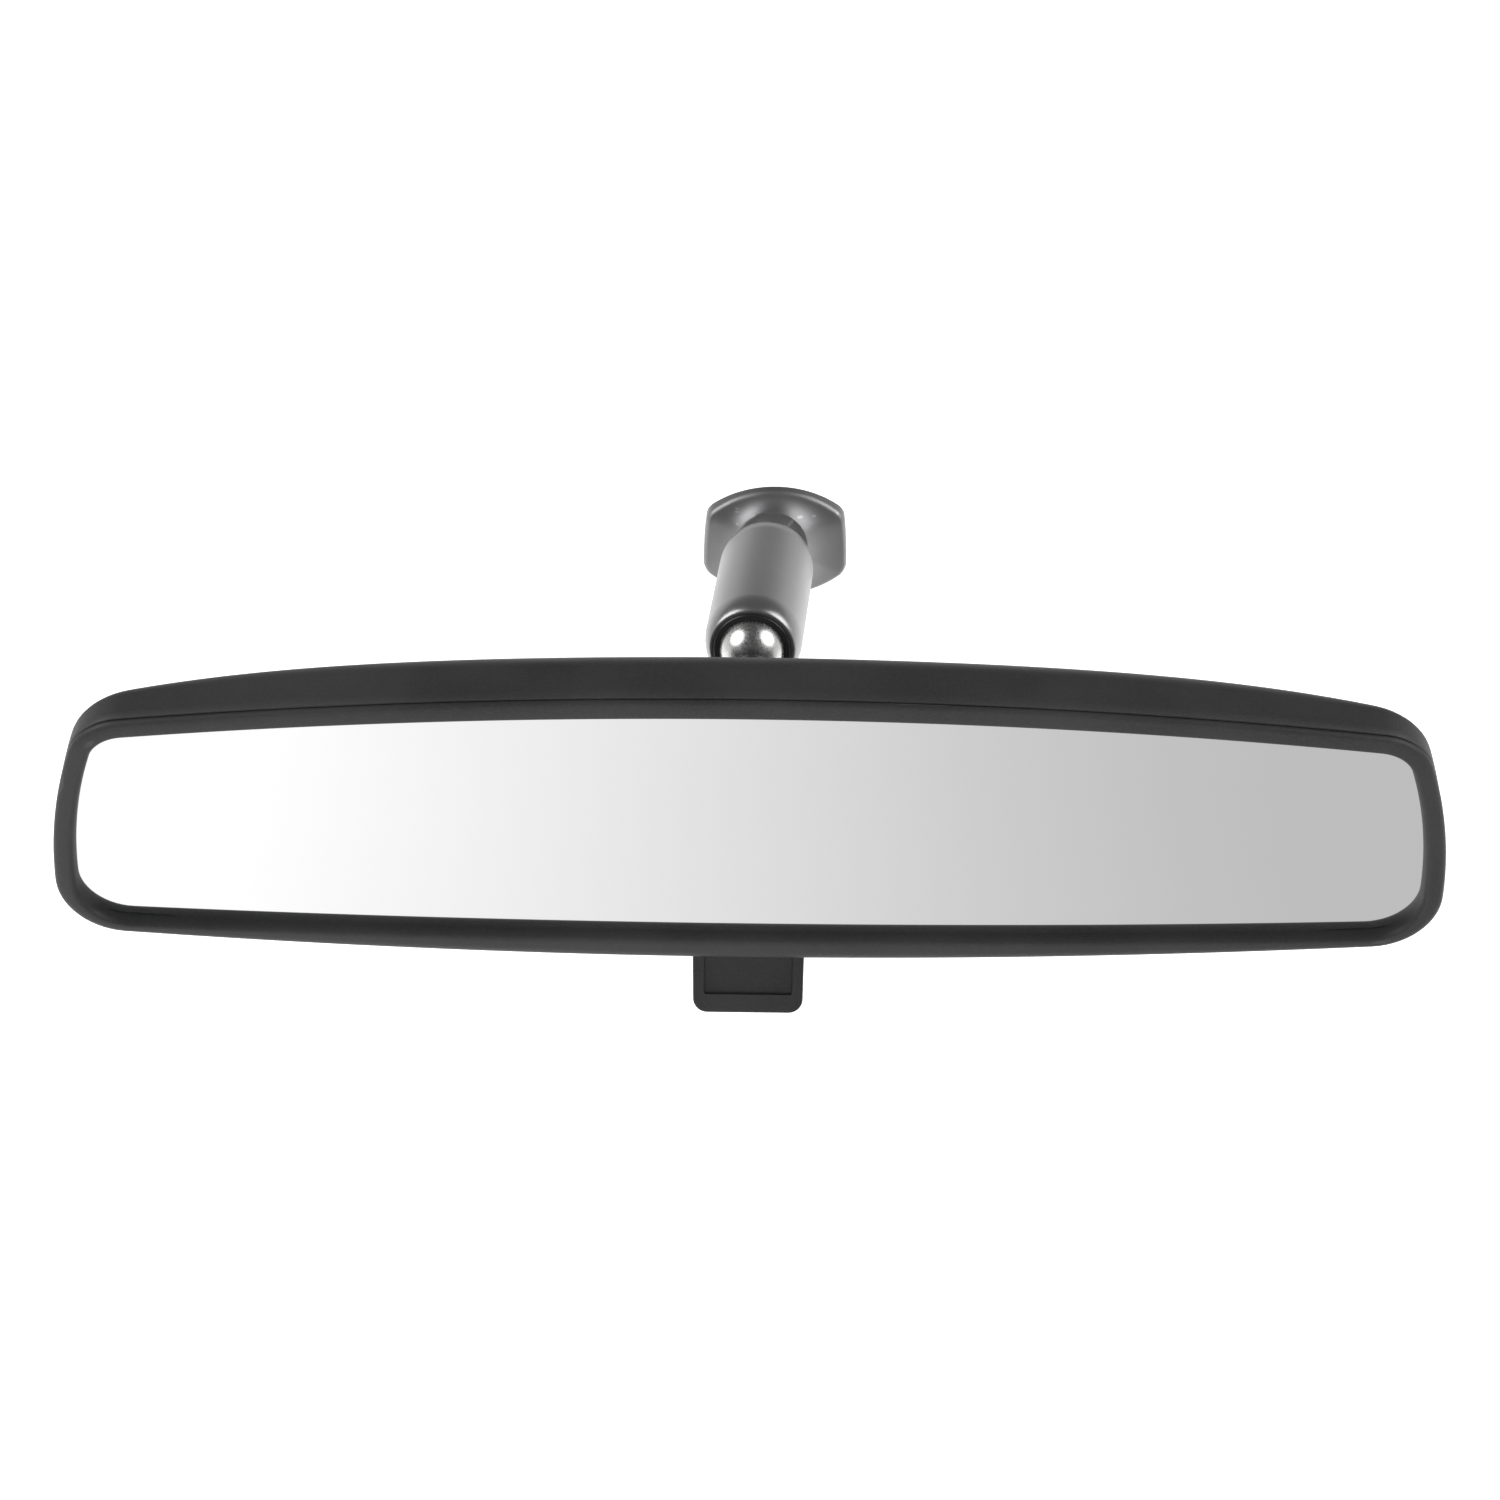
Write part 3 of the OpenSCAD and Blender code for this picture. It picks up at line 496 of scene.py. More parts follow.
# The foot wears the arm's satin black paint; its darker base colour is painted shade, and its higher
# roughness blurs the lamps in it.
foot_paint_with_painted_shade = satin_paint("satin_black_paint_foot_painted_shade", (0.27, 0.27, 0.275), 0.45)
ball_steel = metal("polished_steel", (0.66, 0.655, 0.65), 0.28, stain=0.12)
pin_steel = metal("drawn_steel", (0.6, 0.6, 0.6), 0.22, brushed=(0.05, 1, 1), stain=0.1)
wire_steel = metal("spring_steel", (0.42, 0.42, 0.43), 0.32, stain=0.25)
plated_steel = metal("plated_steel", (0.6, 0.59, 0.55), 0.34, brushed=(0.2, 1, 1), stain=0.18)
acetal = grained_plastic("acetal", (0.012, 0.012, 0.012), 0.3, 0.00001)
nylon = grained_plastic("nylon", (0.02, 0.02, 0.021), 0.42, 0.00005)
foam = foam_material("foam", (0.1, 0.1, 0.105))
mirror = mirror_material("mirror_silver")
glass_edge = glass_edge_material("ground_glass_edge")


def dress(obj, material, body, stands_for):
    """Gives a new piece its material, body and material slot, and hides the CAD nodes it replaces."""
    obj.data.materials.clear()
    obj.data.materials.append(material)
    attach(obj, body)
    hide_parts(*stands_for)


# ---------------------------------------------------------------- case
CASE_D = 21.0
CASE_FLAT = 8.0
CASE_ROUND = 26.0
END_TAPER = 0.6
CASE_WALL = 1.8
RIM_Y = -0.8
HUB_D = size_of("case_shell").y + RIM_Y
HUB_Z = stud_rise - 1
HUB_FOOT_Y = 14.0
HUB_FOOT_R = 19.0
HUB_TOP_R = 14.5
HUB_WALL = 2.0
HUB_HOLE_R = 9.0
HUB_HOLE_Z = stud_rise - 0.5
HUB_FILLET = 3.0
LEVER_SLOT_HALF = 11.7
LEVER_SLOT_FRONT = 2.4
LEVER_SLOT_BACK = 14.0
CASE_RIM_ROUND = 0.45
HUB_TOP_ROUND = 1.4
HUB_RIM_OUT = 0.4
HUB_HOLE_ROUND = 0.5
BOSS_X = 24
BOSS_FROM_EDGE = 18
BOSS_R = 3.2
BOSS_BORE_R = 1.45
BOSS_FRONT = 9.6
BOSS_BACK = 18.0
RING_COUNT = 2 * (2 * EDGE_STEPS + 2 * CORNER_STEPS + END_STEPS)


def outline_reach(inset):
    """How far the outline reaches from the middle, as a table over the angle, in scaled axes."""
    points = outline(HEAD_SHAPE, -inset) / (HALF_W, HALF_H)
    angles = np.arctan2(points[:, 1], points[:, 0])
    order = np.argsort(angles)
    return angles[order], np.hypot(points[:, 0], points[:, 1])[order]


def back_depth(x, z, inset=0.0):
    """Depth of the case's back at points of (x, z), behind the glass's face."""
    angles, reaches = outline_reach(inset)
    low = np.zeros(len(x))
    high = np.ones(len(x))
    for _ in range(36):
        c = (low + high) / 2
        u = x / (1 - CASE_ROUND / HALF_W * c) / HALF_W
        v = z / (1 - CASE_ROUND / HALF_H * c) / HALF_H
        inside = np.hypot(u, v) < np.interp(np.arctan2(v, u), angles, reaches, period=2 * math.pi)
        low = np.where(inside, c, low)
        high = np.where(inside, high, c)
    rise = np.sqrt(1 - (1 - low) ** 2)
    share = 1 - END_TAPER * (np.abs(x) / HALF_W) ** 5
    return share * (CASE_FLAT + (CASE_D - CASE_FLAT) * rise) - inset * rise


def hub_radius(y, wall=0.0):
    share = (y - HUB_FOOT_Y) / (HUB_D - HUB_FOOT_Y)
    return HUB_FOOT_R + (HUB_TOP_R - HUB_FOOT_R) * share - wall


def hub_directions():
    """Unit directions around the hub, clockwise from the top, as many as the outline has points."""
    turn = math.pi / 2 - 2 * math.pi * np.arange(RING_COUNT) / RING_COUNT
    return np.cos(turn), np.sin(turn)


def hub_ring(radius, y, centre_z=HUB_Z):
    """A ring around the hub; radius and y may differ from point to point."""
    across, up = hub_directions()
    return np.stack([radius * across, np.broadcast_to(y, RING_COUNT), centre_z + radius * up], 1)


def back_rings(inset, hub_start, steps):
    """Rings that run over the back from the side's edge to a circle around the hub."""
    edge = outline(HEAD_SHAPE, -inset)
    goal = hub_ring(hub_start, 0.0)[:, [0, 2]]
    samples = np.linspace(0, 1, 300) ** 2
    way = edge[:, None, :] + (goal - edge)[:, None, :] * samples[None, :, None]
    depth = back_depth(way[..., 0].ravel(), way[..., 1].ravel(), inset).reshape(way.shape[:2])
    line = np.concatenate([way, depth[..., None]], 2)
    lengths = np.linalg.norm(np.diff(line, axis=1), axis=2)
    climb = np.abs(np.diff(depth, axis=1))
    weights = lengths / lengths.sum(1, keepdims=True) + 1.2 * climb / climb.sum(1, keepdims=True)
    travelled = np.concatenate([np.zeros((len(edge), 1)), np.cumsum(weights, 1)], 1)
    travelled /= travelled[:, -1:]
    wanted = np.linspace(0, 1, steps + 1)
    at = np.array([np.interp(wanted, t, samples) for t in travelled])
    rings = []
    for k in range(steps + 1):
        p = edge + (goal - edge) * at[:, k, None]
        rings.append(upright(p, back_depth(p[:, 0], p[:, 1], inset)))
    return rings


def side_rings(inset, front, steps=4):
    """Rings of the flat side, from the front to where the back starts to round over."""
    edge = outline(HEAD_SHAPE, -inset)
    back = back_depth(edge[:, 0], edge[:, 1], inset)
    return [upright(edge, front + (back - front) * k / steps) for k in range(steps)]


def hub_fillet(start, steps=8):
    """Rings that blend the back into the hub's wall."""
    across, up = hub_directions()
    base = back_depth(start * across, HUB_Z + start * up)
    foot_r = hub_radius(base)
    foot_y = back_depth(foot_r * across, HUB_Z + foot_r * up)
    wall_y = foot_y + HUB_FILLET
    wall_r = hub_radius(wall_y)
    rings = []
    for t in np.linspace(0, 1, steps + 1)[1:]:
        radius = (1 - t) ** 2 * start + 2 * t * (1 - t) * foot_r + t * t * wall_r
        y = (1 - t) ** 2 * base + 2 * t * (1 - t) * foot_y + t * t * wall_y
        rings.append(hub_ring(radius, y))
    return rings, wall_y


def make_case():
    rim = []
    for a in np.radians(np.linspace(0, 75, 4)):
        edge = outline(HEAD_SHAPE, -CASE_RIM_ROUND * (1 - math.sin(a)))
        rim.append(upright(edge, RIM_Y + CASE_RIM_ROUND * (1 - math.cos(a))))
    hub_start = HUB_FOOT_R + HUB_FILLET
    fillet, wall_y = hub_fillet(hub_start)
    wall = []
    for t in np.linspace(0, 1, 5)[1:]:
        y = wall_y + (HUB_D - HUB_TOP_ROUND - wall_y) * t
        wall.append(hub_ring(hub_radius(y), y))
    top = []
    for a in np.radians(np.linspace(15, 90, 6)):
        radius = HUB_TOP_R + HUB_RIM_OUT - HUB_TOP_ROUND * (1 - math.cos(a))
        top.append(hub_ring(radius, HUB_D - HUB_TOP_ROUND * (1 - math.sin(a))))
    hole = []
    for a in np.radians(np.linspace(0, 90, 5)):
        radius = HUB_HOLE_R + HUB_HOLE_ROUND * (1 - math.sin(a))
        hole.append(hub_ring(radius, HUB_D - HUB_HOLE_ROUND * (1 - math.cos(a)), HUB_HOLE_Z))
    inside_top = HUB_D - HUB_WALL
    inside = [hub_ring(HUB_HOLE_R, inside_top, HUB_HOLE_Z)]
    inner_foot = hub_radius(HUB_FOOT_Y + 3, HUB_WALL)
    across, up = hub_directions()
    inner_base = back_depth(inner_foot * across, HUB_Z + inner_foot * up, CASE_WALL)
    inside.append(hub_ring(hub_radius(inside_top, HUB_WALL), inside_top))
    inner_back = back_rings(CASE_WALL, inner_foot, 30)
    inner_side = side_rings(CASE_WALL, RIM_Y)
    inside.append(hub_ring(inner_foot, (inner_base + inside_top) / 2))
    rings = rim + side_rings(0.0, RIM_Y + CASE_RIM_ROUND)[1:] + back_rings(0.0, hub_start, 44) + fillet
    rings += wall + top + hole + inside + inner_back[::-1] + inner_side[::-1]
    case = skin("case_back", rings, HEAD, closed=True)
    slot = block("slot", (-LEVER_SLOT_HALF, LEVER_SLOT_FRONT, -HALF_H - 1),
                 (LEVER_SLOT_HALF, LEVER_SLOT_BACK, lever_axle_at.z - 1), HEAD, round_edges=1.0)
    combine(case, slot, "DIFFERENCE")
    section = [(BOSS_R, BOSS_FRONT), (BOSS_R, BOSS_BACK), (BOSS_BORE_R, BOSS_BACK), (BOSS_BORE_R, BOSS_FRONT)]
    for x in (-BOSS_X, BOSS_X):
        for z in (-HALF_H + BOSS_FROM_EDGE, HALF_H - BOSS_FROM_EDGE):
            at = HEAD @ Matrix.Translation((x, 0, z)) @ Matrix.Rotation(-math.pi / 2, 4, "X")
            combine(case, lathe("boss", section, at, closed=True, steps=32), "UNION")
    return case


# ---------------------------------------------------------------- bezel
BEZEL_PROUD = -(bezel_low.y - head_at.y) / MM
BEAD_BACK_Y = -1.2
SKIRT_OUT = CASE_WALL + 0.1
SKIRT_IN = SKIRT_OUT + 0.8
SKIRT_D = (bezel_high.y - head_at.y) / MM
BEAD_BACK_ROUND = 0.45
CREST = 0.68
CREST_FULLNESS = 2.5


def bead_height(f):
    """How far the bead stands forward, from its outer edge (0) to the glass (1)."""
    if f < CREST:
        base = BEAD_BACK_Y - 0.25
        return base - (BEZEL_PROUD + base) * (1 - (1 - f / CREST) ** CREST_FULLNESS) ** (1 / CREST_FULLNESS)
    return -BEZEL_PROUD * (1 - ((f - CREST) / (1 - CREST)) ** CREST_FULLNESS) ** (1 / CREST_FULLNESS)


def make_bezel():
    outer = outline(HEAD_SHAPE)
    opening = outline(OPENING_SHAPE)
    shares = np.concatenate([
        CREST * (1 - np.cos(np.radians(np.linspace(0, 90, 13)))),
        CREST + (1 - CREST) * np.sin(np.radians(np.linspace(8, 90, 12))),
    ])
    rings = [upright(outline(HEAD_SHAPE, -SKIRT_OUT), BEAD_BACK_Y)]
    for a in np.radians(np.linspace(0, 80, 4)):
        edge = outline(HEAD_SHAPE, -BEAD_BACK_ROUND * (1 - math.sin(a)))
        rings.append(upright(edge, BEAD_BACK_Y - 0.2 * (1 - math.cos(a))))
    rings += [upright(outer + (opening - outer) * f, bead_height(f)) for f in shares]
    rings += [upright(outline(HEAD_SHAPE, -SKIRT_IN), y) for y in (-0.05, SKIRT_D)]
    rings += [upright(outline(HEAD_SHAPE, -SKIRT_OUT), SKIRT_D)]
    bezel = skin("bezel_bead", rings, HEAD, closed=True)
    gap = block("gap", (-LEVER_SLOT_HALF - 1, 0.6, -HALF_H),
                (LEVER_SLOT_HALF + 1, SKIRT_D + 1, -HALF_H / 2), HEAD)
    return combine(bezel, gap, "DIFFERENCE")


# ---------------------------------------------------------------- glass
GLASS_TOP_T = 5.4
GLASS_BOTTOM_T = 2.2
GLASS_INSET = SKIRT_IN + 0.1
GLASS_BEVEL = 0.35


def make_glass():
    """The prism, with ground bevels; its front and back show the silver, with no clear glass drawn over it.
    """
    slope = (GLASS_TOP_T - GLASS_BOTTOM_T) / (HEAD_H - 2 * GLASS_INSET)
    middle = (GLASS_TOP_T + GLASS_BOTTOM_T) / 2
    full = outline(HEAD_SHAPE, -GLASS_INSET)
    small = outline(HEAD_SHAPE, -GLASS_INSET - GLASS_BEVEL)
    rings = [upright(small, 0.0), upright(full, GLASS_BEVEL),
             upright(full, middle + slope * full[:, 1] - GLASS_BEVEL),
             upright(small, middle + slope * small[:, 1])]
    glass = skin("mirror_prism", rings, HEAD)
    glass.data.materials.append(mirror)
    glass.data.materials.append(glass_edge)
    for face in glass.data.polygons:
        face.material_index = 0 if len(face.vertices) > 4 else 1
    return glass


# ---------------------------------------------------------------- arm
BALL_R = 6.5
STUD_R = 3.0
STUD_BORE_R = STUD_R + 0.02
RING_IN_R = BALL_R + 0.05
RING_OUT_R = RING_IN_R + 1.6
TUBE_IN_R = RING_OUT_R + 0.05
TUBE_R = TUBE_IN_R + 1.5
TUBE_MOUTH_Z = -0.8
TUBE_MOUTH_R = TUBE_IN_R - 0.1
MOUTH_HOLE_R = TUBE_MOUTH_R - 0.4
MOUTH_EDGE = 0.15
SHOULDER_Z = 0.4
SWAGE_LEN = 5.4
RING_LIP_Z = -1.0
RING_BACK_Z = 1.5


def tube_end():
    """Half of the tube's section, from the shoulder inside, out over the mouth's edge, to the middle."""
    inner = [(TUBE_IN_R, SHOULDER_Z), (MOUTH_HOLE_R, SHOULDER_Z)]
    edge = [(MOUTH_HOLE_R + MOUTH_EDGE * (1 - math.cos(a)), TUBE_MOUTH_Z + MOUTH_EDGE * (1 - math.sin(a)))
            for a in np.radians(np.linspace(0, 90, 5))]
    widening = TUBE_R - TUBE_MOUTH_R
    swage = [(TUBE_MOUTH_R + widening * math.sin(a), TUBE_MOUTH_Z + SWAGE_LEN * (1 - math.cos(a)))
             for a in np.linspace(0, math.pi / 2, 32)]
    return inner + edge + swage


def make_tube():
    near = tube_end()
    far = [(r, ball_spacing - z) for r, z in near[::-1]]
    return lathe("arm_sleeve", near + far, ARM, closed=True, steps=128)


def bar(name, radius, length, where, steps):
    """A round bar along the local Z, from its origin."""
    return lathe(name, [(0, 0), (radius, 0), (radius, length), (0, length)], where, steps=steps)


def make_ball_ring(name, where):
    lip_r = MOUTH_HOLE_R - 0.05
    flange_z = SHOULDER_Z + 0.05
    inside = [(math.sqrt(RING_IN_R ** 2 - z * z), z) for z in np.linspace(RING_BACK_Z, RING_LIP_Z, 9)]
    outside = [(lip_r - 0.15, RING_LIP_Z), (lip_r, RING_LIP_Z + 0.15), (lip_r, flange_z),
               (RING_OUT_R, flange_z), (RING_OUT_R, RING_BACK_Z)]
    return lathe(name, inside + outside, where, closed=True)


def make_spring_seat(name, where):
    inner_r = BALL_R + 0.1
    outer_r = RING_OUT_R - 0.15
    edge_z = 0.86 * BALL_R
    inner = [(inner_r * math.cos(a), inner_r * math.sin(a))
             for a in np.linspace(math.asin(edge_z / inner_r), math.pi / 2, 12)]
    outer = [(outer_r * math.cos(a), outer_r * math.sin(a))
             for a in np.linspace(math.pi / 2, math.asin(edge_z / outer_r), 12)]
    return lathe(name, inner + outer, where)


def ball_profile(centre, shank):
    """The ball's outline from its top down to where a shank of that radius enters it."""
    low = -math.acos(shank / BALL_R)
    return [(BALL_R * math.cos(a), centre + BALL_R * math.sin(a)) for a in np.linspace(math.pi / 2, low, 40)]


def make_head_stud():
    start = size_of("head_ball_stud").y - BALL_R
    foot = neck_len - start
    chamfer = 0.4
    profile = ball_profile(neck_len, STUD_R)
    profile += [(STUD_R, foot + chamfer), (STUD_R - chamfer, foot), (0, foot)]
    return lathe("head_ball_and_shank", profile, HEAD_STUD, steps=112)


FOOT_STUD_LEN = foot_ball_at.length / MM
FOOT_NECK_S = FOOT_STUD_LEN - BALL_R - 3
FOOT_CONE_R = 3.8
FOOT_CONE_TIP_R = 3.3


def make_foot_stud():
    start = 2.0
    profile = ball_profile(FOOT_STUD_LEN, FOOT_CONE_TIP_R)
    profile += [(FOOT_CONE_R, FOOT_NECK_S), (STUD_R, FOOT_NECK_S), (STUD_R, start), (0, start)]
    stud = lathe("foot_ball_and_shank", profile, FOOT_STUD, steps=112)
    back_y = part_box("foot_ball_stud")[1].y / MM
    behind = block("behind", (-20, back_y, -20), (20, 20, 20), FOOT)
    return combine(stud, behind, "DIFFERENCE")


# ---------------------------------------------------------------- foot
FOOT_H = size_of("mount_foot").z
FOOT_W = size_of("mount_foot").x
FOOT_SHAPE = dict(
    top=FOOT_H / 2, top_r=21, half_w=FOOT_W / 2, end_r=90, end_z=-5,
    bottom=-FOOT_H / 2, bottom_r=22, upper_r=4, lower_r=4,
)
FOOT_TOP_T = 3.0
FOOT_BOTTOM_T = 7.0
FOOT_NECK_R = 7.6
FOOT_EDGE_ROUND = 1.5
FOOT_ROUND_TURN = 55
FOOT_CHAMFER = 0.4
NECK_CRIMP = 0.25
CUT_PAST = 30
FOOT_HOLLOW = 0.5
CHANNEL_HALF = 9.5
CHANNEL_UNDERCUT = 1.2
CHANNEL_D = 4.8
CHANNEL_ROUND_Z = -1.0
SET_SCREW_Z = -FOOT_H / 2 + 4.6
SET_SCREW_BOSS_R = 4.2
SET_SCREW_BORE_R = 2.52


def foot_front_depth(z):
    return FOOT_TOP_T + (FOOT_BOTTOM_T - FOOT_TOP_T) * (0.5 - z / FOOT_H)


def make_foot():
    axis = np.array(foot_ball_at.normalized())
    side = np.cross(axis, (0, 0, 1))
    side = -side / np.linalg.norm(side) if side[0] < 0 else side / np.linalg.norm(side)
    up = np.cross(side, axis)
    up = up if up[2] > 0 else -up
    edge = outline(FOOT_SHAPE)
    inner_edge = outline(FOOT_SHAPE, -FOOT_EDGE_ROUND)
    turn = np.arctan2(edge[:, 1], edge[:, 0])
    neck = FOOT_NECK_S * axis + FOOT_NECK_R * (np.cos(turn)[:, None] * side + np.sin(turn)[:, None] * up)
    depth = foot_front_depth(edge[:, 1])
    rings = [upright(outline(FOOT_SHAPE, -FOOT_CHAMFER), 0.0), upright(edge, -FOOT_CHAMFER)]
    for a in np.radians(np.linspace(0, FOOT_ROUND_TURN, 7)):
        points = edge + (inner_edge - edge) * (1 - math.cos(a))
        rings.append(upright(points, -depth + FOOT_EDGE_ROUND * (1 - math.sin(a))))
    start = rings[-1]
    for t in np.linspace(0, 1, 25)[1:]:
        inward = (1 - FOOT_HOLLOW) * t + FOOT_HOLLOW * math.sin(math.pi / 2 * t)
        out = (1 - FOOT_HOLLOW) * t + FOOT_HOLLOW * (1 - math.cos(math.pi / 2 * t))
        share = np.array([inward, out, inward])
        rings.append(start + (neck - start) * share)
    neck_centre = FOOT_NECK_S * axis
    for share in (0.92, 0.5):
        rings.append(neck_centre + (neck - neck_centre) * share + NECK_CRIMP * axis)
    foot = skin("windscreen_foot", rings, FOOT)
    screw_place = FOOT @ Matrix.Translation((0, 0, SET_SCREW_Z)) @ Matrix.Rotation(math.pi / 2, 4, "X")
    boss_front = CHANNEL_D + 4.4
    boss_back = 5.0
    boss_edge = 0.5
    section = [(0, boss_back), (SET_SCREW_BOSS_R, boss_back), (SET_SCREW_BOSS_R, boss_front - boss_edge),
               (SET_SCREW_BOSS_R - boss_edge, boss_front), (0, boss_front)]
    combine(foot, lathe("boss", section, screw_place, steps=48), "UNION")
    past = 0.5
    flare = CHANNEL_UNDERCUT / CHANNEL_D
    mouth = CHANNEL_HALF - past * flare
    deep = CHANNEL_HALF + CHANNEL_UNDERCUT
    half_turn = np.radians(np.linspace(0, 180, 33))
    section = []
    for radius, y in ((mouth, past), (deep, -CHANNEL_D)):
        ring = [(radius * math.cos(a), y, CHANNEL_ROUND_Z + radius * math.sin(a)) for a in half_turn]
        section.append(ring + [(-radius, y, -FOOT_H), (radius, y, -FOOT_H)])
    combine(foot, skin("channel", section, FOOT), "DIFFERENCE")
    combine(foot, bar("bore", STUD_BORE_R, CUT_PAST, FOOT_STUD, steps=48), "DIFFERENCE")
    combine(foot, bar("thread", SET_SCREW_BORE_R, CUT_PAST, screw_place, steps=48), "DIFFERENCE")
    return foot


# ---------------------------------------------------------------- day and night lever
LEVER_HUB_PROUD = 1.4
TAB_W = size_of("toggle_lever").x - 2.6
TAB_LEN = 25.6
TAB_T = 3.0
TAB_LEAN = math.radians(30)
TAB_CORNER_R = 2.8
TAB_ROOT = 2.6
RECESS_HALF = (TAB_W - 4.8) / 2
RECESS_TOP = TAB_LEN - 15
RECESS_BOTTOM = TAB_LEN - 3.8
RECESS_D = 0.9
LEVER_HUB_R = 3.6
LEVER_HUB_FROM = 4.0
CHEEK_R = 2.9
CHEEK_TO = 7.2
CRANK_R = 3.6
HALF_FLIP = math.radians(21)
AXLE_BORE_R = 1.55
PIN_BORE_R = 1.42
CARRIER_PIN_PLAY = 0.15
PIN_R = 1.4


def along_x(where, x, y, z):
    """A local frame at a point, whose Z runs along X."""
    return where @ Matrix.Translation((x, y, z)) @ Matrix.Rotation(math.pi / 2, 4, "Y")


def rod(name, radius, from_x, to_x, where, y=0.0, z=0.0, steps=48):
    """A round bar along X between two places."""
    return lathe(name, [(0, from_x), (radius, from_x), (radius, to_x), (0, to_x)],
                 along_x(where, 0, y, z), steps=steps)


def tab_outline():
    """The tab seen from the front, as (x, z), from its root to its rounded tip."""
    half = TAB_W / 2
    tip = half - 0.3
    corner_z = -TAB_LEN + TAB_CORNER_R
    right = [(half, -TAB_ROOT)] + arc((tip - TAB_CORNER_R, corner_z), TAB_CORNER_R, 2, -90, 10)
    return np.array(right + [(-x, z) for x, z in right[::-1]])


def make_lever():
    at = HEAD @ Matrix.Translation(lever_axle_at)
    leaning = at @ Matrix.Rotation(-TAB_LEAN, 4, "X")
    edge = tab_outline()
    lever = skin("flip_lever", [upright(edge, -TAB_T / 2), upright(edge, TAB_T / 2)], leaning)
    soften(lever, 0.6, segments=4)
    recess = block("recess", (-RECESS_HALF, -TAB_T, -RECESS_BOTTOM),
                   (RECESS_HALF, RECESS_D - TAB_T / 2, -RECESS_TOP), leaning, round_edges=0.5)
    combine(lever, recess, "DIFFERENCE")
    crank_y = CRANK_R * math.sin(HALF_FLIP)
    crank_z = CRANK_R * math.cos(HALF_FLIP)
    for sign in (-1, 1):
        near, far = sorted((sign * LEVER_HUB_FROM, sign * (TAB_W / 2 + LEVER_HUB_PROUD)))
        combine(lever, rod("hub", LEVER_HUB_R, near, far, at), "UNION")
        near, far = sorted((sign * LEVER_HUB_FROM, sign * CHEEK_TO))
        combine(lever, rod("cheek", CHEEK_R, near, far, at, crank_y, crank_z), "UNION")
    combine(lever, rod("axle_bore", AXLE_BORE_R, -CUT_PAST, CUT_PAST, at), "DIFFERENCE")
    combine(lever, rod("pin_bore", PIN_BORE_R, -CUT_PAST, CUT_PAST, at, crank_y, crank_z), "DIFFERENCE")
    return lever


# ---------------------------------------------------------------- ball carrier
SLAB_HALF = 9.5
SLAB_FRONT = 11.4
SLAB_BACK = 15.4
SLAB_ABOVE_FORK = 11
ARM_ROOT_R = 9.0
ARM_TIP_R = 4.0
FORK_HALF = 3.4
FORK_LEG_T = 1.7
FORK_LOW = 2.2
FORK_HIGH = 13
SLOT_TOP = 0.8
KNUCKLE_R = 3.4
KNUCKLE_HALF = 11.6
NUT_SEAT_R = 5.8
NUT_SEAT_Y = 13.2
SHANK_BORE_LEN = 50


def make_carrier():
    """The arm inside the head: a cone around the shank, a slab, the tilt knuckle and the pin's fork."""
    fork_z = lever_axle_at.z
    pin_y = lever_axle_at.y + CRANK_R * math.sin(HALF_FLIP)
    pin_z = lever_axle_at.z + CRANK_R * math.cos(HALF_FLIP)
    cone_start = SLAB_BACK - 1
    cone_end = neck_len - BALL_R - 0.1
    profile = [(0, cone_start), (ARM_ROOT_R, cone_start)]
    profile += [(ARM_TIP_R + (ARM_ROOT_R - ARM_TIP_R) * (1 - t), cone_start + (cone_end - cone_start) * t)
                for t in np.linspace(0.02, 0.97, 12)]
    profile += [(ARM_TIP_R - 0.1, cone_end), (0, cone_end)]
    carrier = lathe("carrier_arm", profile, HEAD_STUD, steps=80)
    slot_half = PIN_R + CARRIER_PIN_PLAY
    slab = block("slab", (-SLAB_HALF, SLAB_FRONT, fork_z + SLAB_ABOVE_FORK),
                 (SLAB_HALF, SLAB_BACK, tilt_axle_at.z), HEAD, round_edges=0.5)
    combine(carrier, slab, "UNION")
    fork = block("fork", (-FORK_HALF, pin_y - slot_half - FORK_LEG_T, fork_z + FORK_LOW),
                 (FORK_HALF, pin_y + slot_half + FORK_LEG_T, fork_z + FORK_HIGH), HEAD, round_edges=0.3)
    combine(carrier, fork, "UNION")
    at = HEAD @ Matrix.Translation(tilt_axle_at)
    combine(carrier, rod("knuckle", KNUCKLE_R, -KNUCKLE_HALF, KNUCKLE_HALF, at), "UNION")
    combine(carrier, rod("axle_bore", AXLE_BORE_R, -CUT_PAST, CUT_PAST, at), "DIFFERENCE")
    slot_end_z = pin_z + SLOT_TOP
    slot = block("slot", (-8, pin_y - slot_half, fork_z - 1), (8, pin_y + slot_half, slot_end_z), HEAD)
    combine(slot, rod("slot_end", slot_half, -8.5, 8.5, HEAD, pin_y, slot_end_z), "UNION")
    combine(carrier, slot, "DIFFERENCE")
    combine(carrier, bar("shank", STUD_BORE_R, SHANK_BORE_LEN, HEAD_STUD, steps=64), "DIFFERENCE")
    combine(carrier, bar("nut_seat", NUT_SEAT_R, NUT_SEAT_Y, HEAD_STUD, steps=64), "DIFFERENCE")
    return carrier


